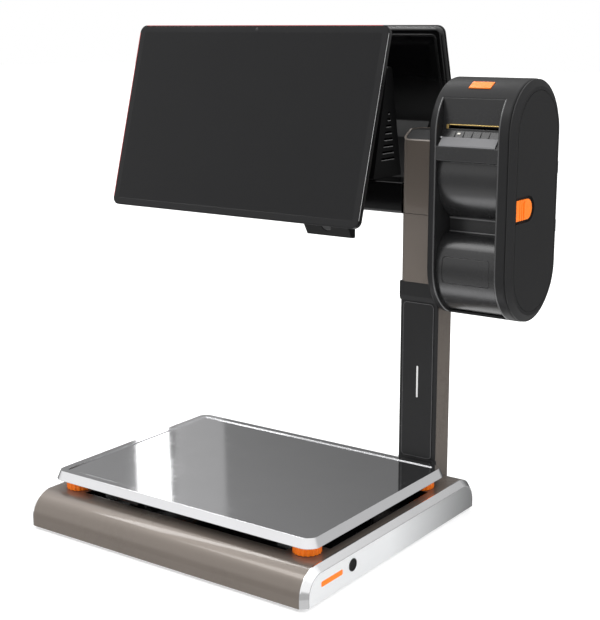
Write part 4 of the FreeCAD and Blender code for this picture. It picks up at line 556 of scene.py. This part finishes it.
eye = throat @ Matrix.Translation((SLOT_LEFT + 16 * MM, 0.55 * throat_length, 0))
mesh_piece("gap_sensor_eye", slab(round_outline(-2.0 * MM, 2.0 * MM, -1.0 * MM, 1.0 * MM, 0.9 * MM),
                                  -0.2 * MM, 0.6 * MM, eye), nylon, "root", bevel=0.2 * MM)
for name, x in (("peel_pin_left", panel_low.x + 2.6 * MM), ("peel_pin_right", panel_high.x - 2.6 * MM)):
    spot = frame_at((x, peel_high.y - 1.2 * MM, peel_high.z - 0.6 * MM), (1, 0, 0), (0, 0.62, 0.78))
    mesh_piece(name, screw_head(1.4 * MM, 0.8 * MM, spot), steel, "root")

# The hub's end walls: a pale strip under each vent, a painted highlight along the vent's lower edge.
hub_low, hub_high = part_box("hub_housing")
rows = {}
for vertex in nodes["hub_housing"].data.vertices:
    if vertex.co.x > hub_high.x - 0.1 * MM:
        rows.setdefault(round(vertex.co.z / MM, 1), []).append(vertex.co.y)
VENT_HEIGHT = 2.4
for name, x, way in (("right", hub_high.x, 1), ("left", hub_low.x, -1)):
    face = frame_at((x, 0, 0), (0, way, 0), (0, 0, 1))
    for z in sorted(rows):
        if round(z + VENT_HEIGHT, 1) in rows:
            line = [(way * min(rows[z]), z * MM - 0.4 * MM), (way * max(rows[z]), z * MM - 0.4 * MM)]
            mesh_piece("vent_lip_%s_%d" % (name, round(z)), strip(line, 0.8 * MM, 0.4 * MM, face),
                       vent_painted_highlight, "root")

# The column's inlay: a lighter ring painted as the highlight on its rounded edge, and a plain bar in place
# of the printed word.
inlay_low, inlay_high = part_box("column_inlay")
front = frame_at((0, inlay_low.y, 0), (1, 0, 0), (0, 0, 1))
edge = 0.7 * MM
border = ring(round_outline(inlay_low.x, inlay_high.x, inlay_low.z, inlay_high.z, 5 * MM),
              round_outline(inlay_low.x + edge, inlay_high.x - edge, inlay_low.z + edge,
                            inlay_high.z - edge, 5 * MM - edge), -0.6 * MM, 0.15 * MM, front)
mesh_piece("column_inlay_edge", border, inlay_line, "root")
middle = (inlay_low.x + inlay_high.x) / 2
MARK_LOW, MARK_HIGH = 146 * MM, 186 * MM
mark_line = round_outline(middle - 1.2 * MM, middle + 1.2 * MM, MARK_LOW, MARK_HIGH, 1.1 * MM)
mesh_piece("column_mark", slab(mark_line, -0.05 * MM, 0.12 * MM, front), pale_ink_and_highlight, "root")

# The latch: a raised thumb ridge across its face.
latch_low, latch_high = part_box("latch")
latch_face = frame_at((latch_high.x, 0, 0), (0, 1, 0), (0, 0, 1))
ridge_y = latch_low.y + 0.62 * (latch_high.y - latch_low.y)
ridge_z = (latch_low.z + latch_high.z) / 2
ridge_line = round_outline(ridge_y - 2.0 * MM, ridge_y + 2.0 * MM, ridge_z - 8.5 * MM, ridge_z + 8.5 * MM,
                           1.6 * MM)
mesh_piece("latch_thumb_ridge", slab(ridge_line, -0.4 * MM, 0.9 * MM, latch_face), orange, "latch_body",
           bevel=0.4 * MM)

# The back of the column: a plain plate and two screws.
post_low, post_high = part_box("column_post")
rear = frame_at((0, post_high.y, 0), (-1, 0, 0), (0, 0, 1))
post_middle = -(post_low.x + post_high.x) / 2
PLATE_LOW, PLATE_HIGH = 110 * MM, 134 * MM
plate_line = round_outline(post_middle - 16 * MM, post_middle + 16 * MM, PLATE_LOW, PLATE_HIGH, 1.5 * MM)
mesh_piece("rating_plate", slab(plate_line, -0.2 * MM, 0.5 * MM, rear), pale_ink_and_highlight, "root",
           bevel=0.15 * MM)
for index, z in enumerate((84 * MM, 250 * MM)):
    spot = rear @ Matrix.Translation((post_middle, z, 0))
    mesh_piece("column_rear_screw_%d" % index, screw_head(3.4 * MM, 1.3 * MM, spot), steel, "root")

# The right side panel: a plain orange bar in place of the printed word.
side_low, side_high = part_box("side_panel_right")
side_face = frame_at((side_high.x, 0, 0), (0, 1, 0), (0, 0, 1))
BAR_FRONT, BAR_BACK = -206 * MM, -166 * MM
BAR_LOW, BAR_HIGH = 19.5 * MM, 25.5 * MM
bar_line = round_outline(BAR_FRONT, BAR_BACK, BAR_LOW, BAR_HIGH, 1.5 * MM)
mesh_piece("side_mark", slab(bar_line, -0.05 * MM, 0.12 * MM, side_face), orange, "root")


# ---------------------------------------------------------------- stage, light and camera

def look_at(thing, place, target):
    thing.location = place
    thing.rotation_euler = (Vector(target) - Vector(place)).to_track_quat("-Z", "Y").to_euler()


def soft_light(name, place, target, width, height, power, tone=(1, 1, 1)):
    data = bpy.data.lights.new(name, "AREA")
    data.shape = "RECTANGLE"
    data.size = width
    data.size_y = height
    data.energy = power
    data.color = tone
    light = bpy.data.objects.new(name, data)
    scene.collection.objects.link(light)
    look_at(light, place, target)
    light.visible_camera = False
    return light


soft_light("key_left", (-1.3, -1.5, 2.9), (0, 0, 0.3), 1.4, 1.2, 24)
soft_light("crest_strip", (-1.35, 0.35, 2.0), (0, -0.2, 0.05), 2.2, 0.22, 12)
soft_light("top", (0.2, 0.0, 2.7), (0, 0, 0.2), 1.4, 1.4, 6)
soft_light("strip_behind", (-2.305, 2.265, 1.0), (0, 0, 0.1), 0.12, 2.4, 3.0)
soft_light("strip_beside", (-2.171, 2.389, 1.0), (0, 0, 0.1), 0.19, 2.4, 0.3)

world = bpy.data.worlds.new("studio")
scene.world = world
world.use_nodes = True
tree = world.node_tree
tree.nodes.clear()


def world_node(kind, **settings):
    node = tree.nodes.new(kind)
    for key, value in settings.items():
        setattr(node, key, value)
    return node


def tone_ramp(source, stops):
    """Greys along a value, from pairs of position and brightness."""
    node = world_node("ShaderNodeValToRGB")
    ramp = node.color_ramp
    while len(ramp.elements) < len(stops):
        ramp.elements.new(0.5)
    for element, (position, bright) in zip(ramp.elements, stops):
        element.position = position
        element.color = (bright, bright, bright, 1)
    tree.links.new(source, node.inputs["Fac"])
    return node.outputs["Color"]


# Behind the kiosk the studio is darker; in front of it and overhead it is bright.
direction = world_node("ShaderNodeTexCoord").outputs["Generated"]
toward_back = world_node("ShaderNodeVectorMath", operation="DOT_PRODUCT")
tree.links.new(direction, toward_back.inputs[0])
toward_back.inputs[1].default_value = (-0.30, 0.95, 0.0)
round_about = world_node("ShaderNodeMapRange")
tree.links.new(toward_back.outputs["Value"], round_about.inputs["Value"])
round_about.inputs["From Min"].default_value = -1.0
around = tone_ramp(round_about.outputs["Result"],
                   [(0.0, 1.15), (0.40, 1.05), (0.62, 0.62), (0.80, 0.62), (0.92, 0.36), (0.955, 0.22),
                    (1.0, 0.195)])
split = world_node("ShaderNodeSeparateXYZ")
tree.links.new(direction, split.inputs[0])
height = world_node("ShaderNodeMapRange")
tree.links.new(split.outputs["Z"], height.inputs["Value"])
height.inputs["From Min"].default_value = -1.0
low_part = tone_ramp(height.outputs["Result"],
                     [(0.0, 1.0), (0.2, 1.0), (0.32, 0.45), (0.47, 0.45), (0.52, 1.0)])
high_part = tone_ramp(height.outputs["Result"], [(0.15, 1.0), (0.25, 0.0), (0.72, 0.0), (0.86, 1.0)])
dimmed = world_node("ShaderNodeMix", data_type="RGBA", blend_type="MULTIPLY")
dimmed.inputs[0].default_value = 1.0
tree.links.new(around, dimmed.inputs[6])
tree.links.new(low_part, dimmed.inputs[7])
blend = world_node("ShaderNodeMix", data_type="RGBA")
tree.links.new(high_part, blend.inputs[0])
tree.links.new(dimmed.outputs[2], blend.inputs[6])
blend.inputs[7].default_value = (1.5, 1.5, 1.5, 1)
lit = world_node("ShaderNodeBackground")
tree.links.new(blend.outputs[2], lit.inputs["Color"])
seen = world_node("ShaderNodeBackground")
seen.inputs["Color"].default_value = (1, 1, 1, 1)
pick = world_node("ShaderNodeMixShader")
tree.links.new(world_node("ShaderNodeLightPath").outputs["Is Camera Ray"], pick.inputs["Fac"])
tree.links.new(lit.outputs[0], pick.inputs[1])
tree.links.new(seen.outputs[0], pick.inputs[2])
tree.links.new(pick.outputs[0], world_node("ShaderNodeOutputWorld").inputs["Surface"])

bm = bmesh.new()
FLOOR_REACH = 14.0
bmesh.ops.create_grid(bm, x_segments=8, y_segments=8, size=FLOOR_REACH)
floor_mesh = bpy.data.meshes.new("floor")
bm.to_mesh(floor_mesh)
bm.free()
floor = bpy.data.objects.new("floor", floor_mesh)
scene.collection.objects.link(floor)
floor_look = Graph("floor_pale")
floor_tone = floor_look.mix(floor_look.noise(3.0), (0.90, 0.90, 0.90, 1), (0.93, 0.93, 0.93, 1))
floor_look.join(floor_tone, floor_look.shader.inputs["Base Color"])
floor_look.shader.inputs["Roughness"].default_value = 0.9
floor_look.shader.inputs["Specular IOR Level"].default_value = 0.1
floor_look.shader.inputs["Emission Color"].default_value = (1, 1, 1, 1)
floor_look.shader.inputs["Emission Strength"].default_value = 0.22
floor_mesh.materials.append(floor_look.material)
floor.visible_glossy = False

scene.view_settings.view_transform = "Standard"

camera_data = bpy.data.cameras.new("camera")
camera_data.lens = 74.28
camera_data.sensor_width = 36.0
camera_data.sensor_fit = "AUTO"
camera = bpy.data.objects.new("camera", camera_data)
scene.collection.objects.link(camera)
AZIMUTH = math.radians(35.576)
ELEVATION = math.radians(12.572)
ROLL = math.radians(-0.097)
ahead = Vector((-math.sin(AZIMUTH) * math.cos(ELEVATION), math.cos(AZIMUTH) * math.cos(ELEVATION),
                -math.sin(ELEVATION)))
turn = ahead.to_track_quat("-Z", "Y").to_matrix().to_4x4() @ Matrix.Rotation(ROLL, 4, "Z")
VIEWPOINT = (0.89753, -1.23123, 0.59487)
camera.matrix_world = Matrix.Translation(VIEWPOINT) @ turn
scene.camera = camera
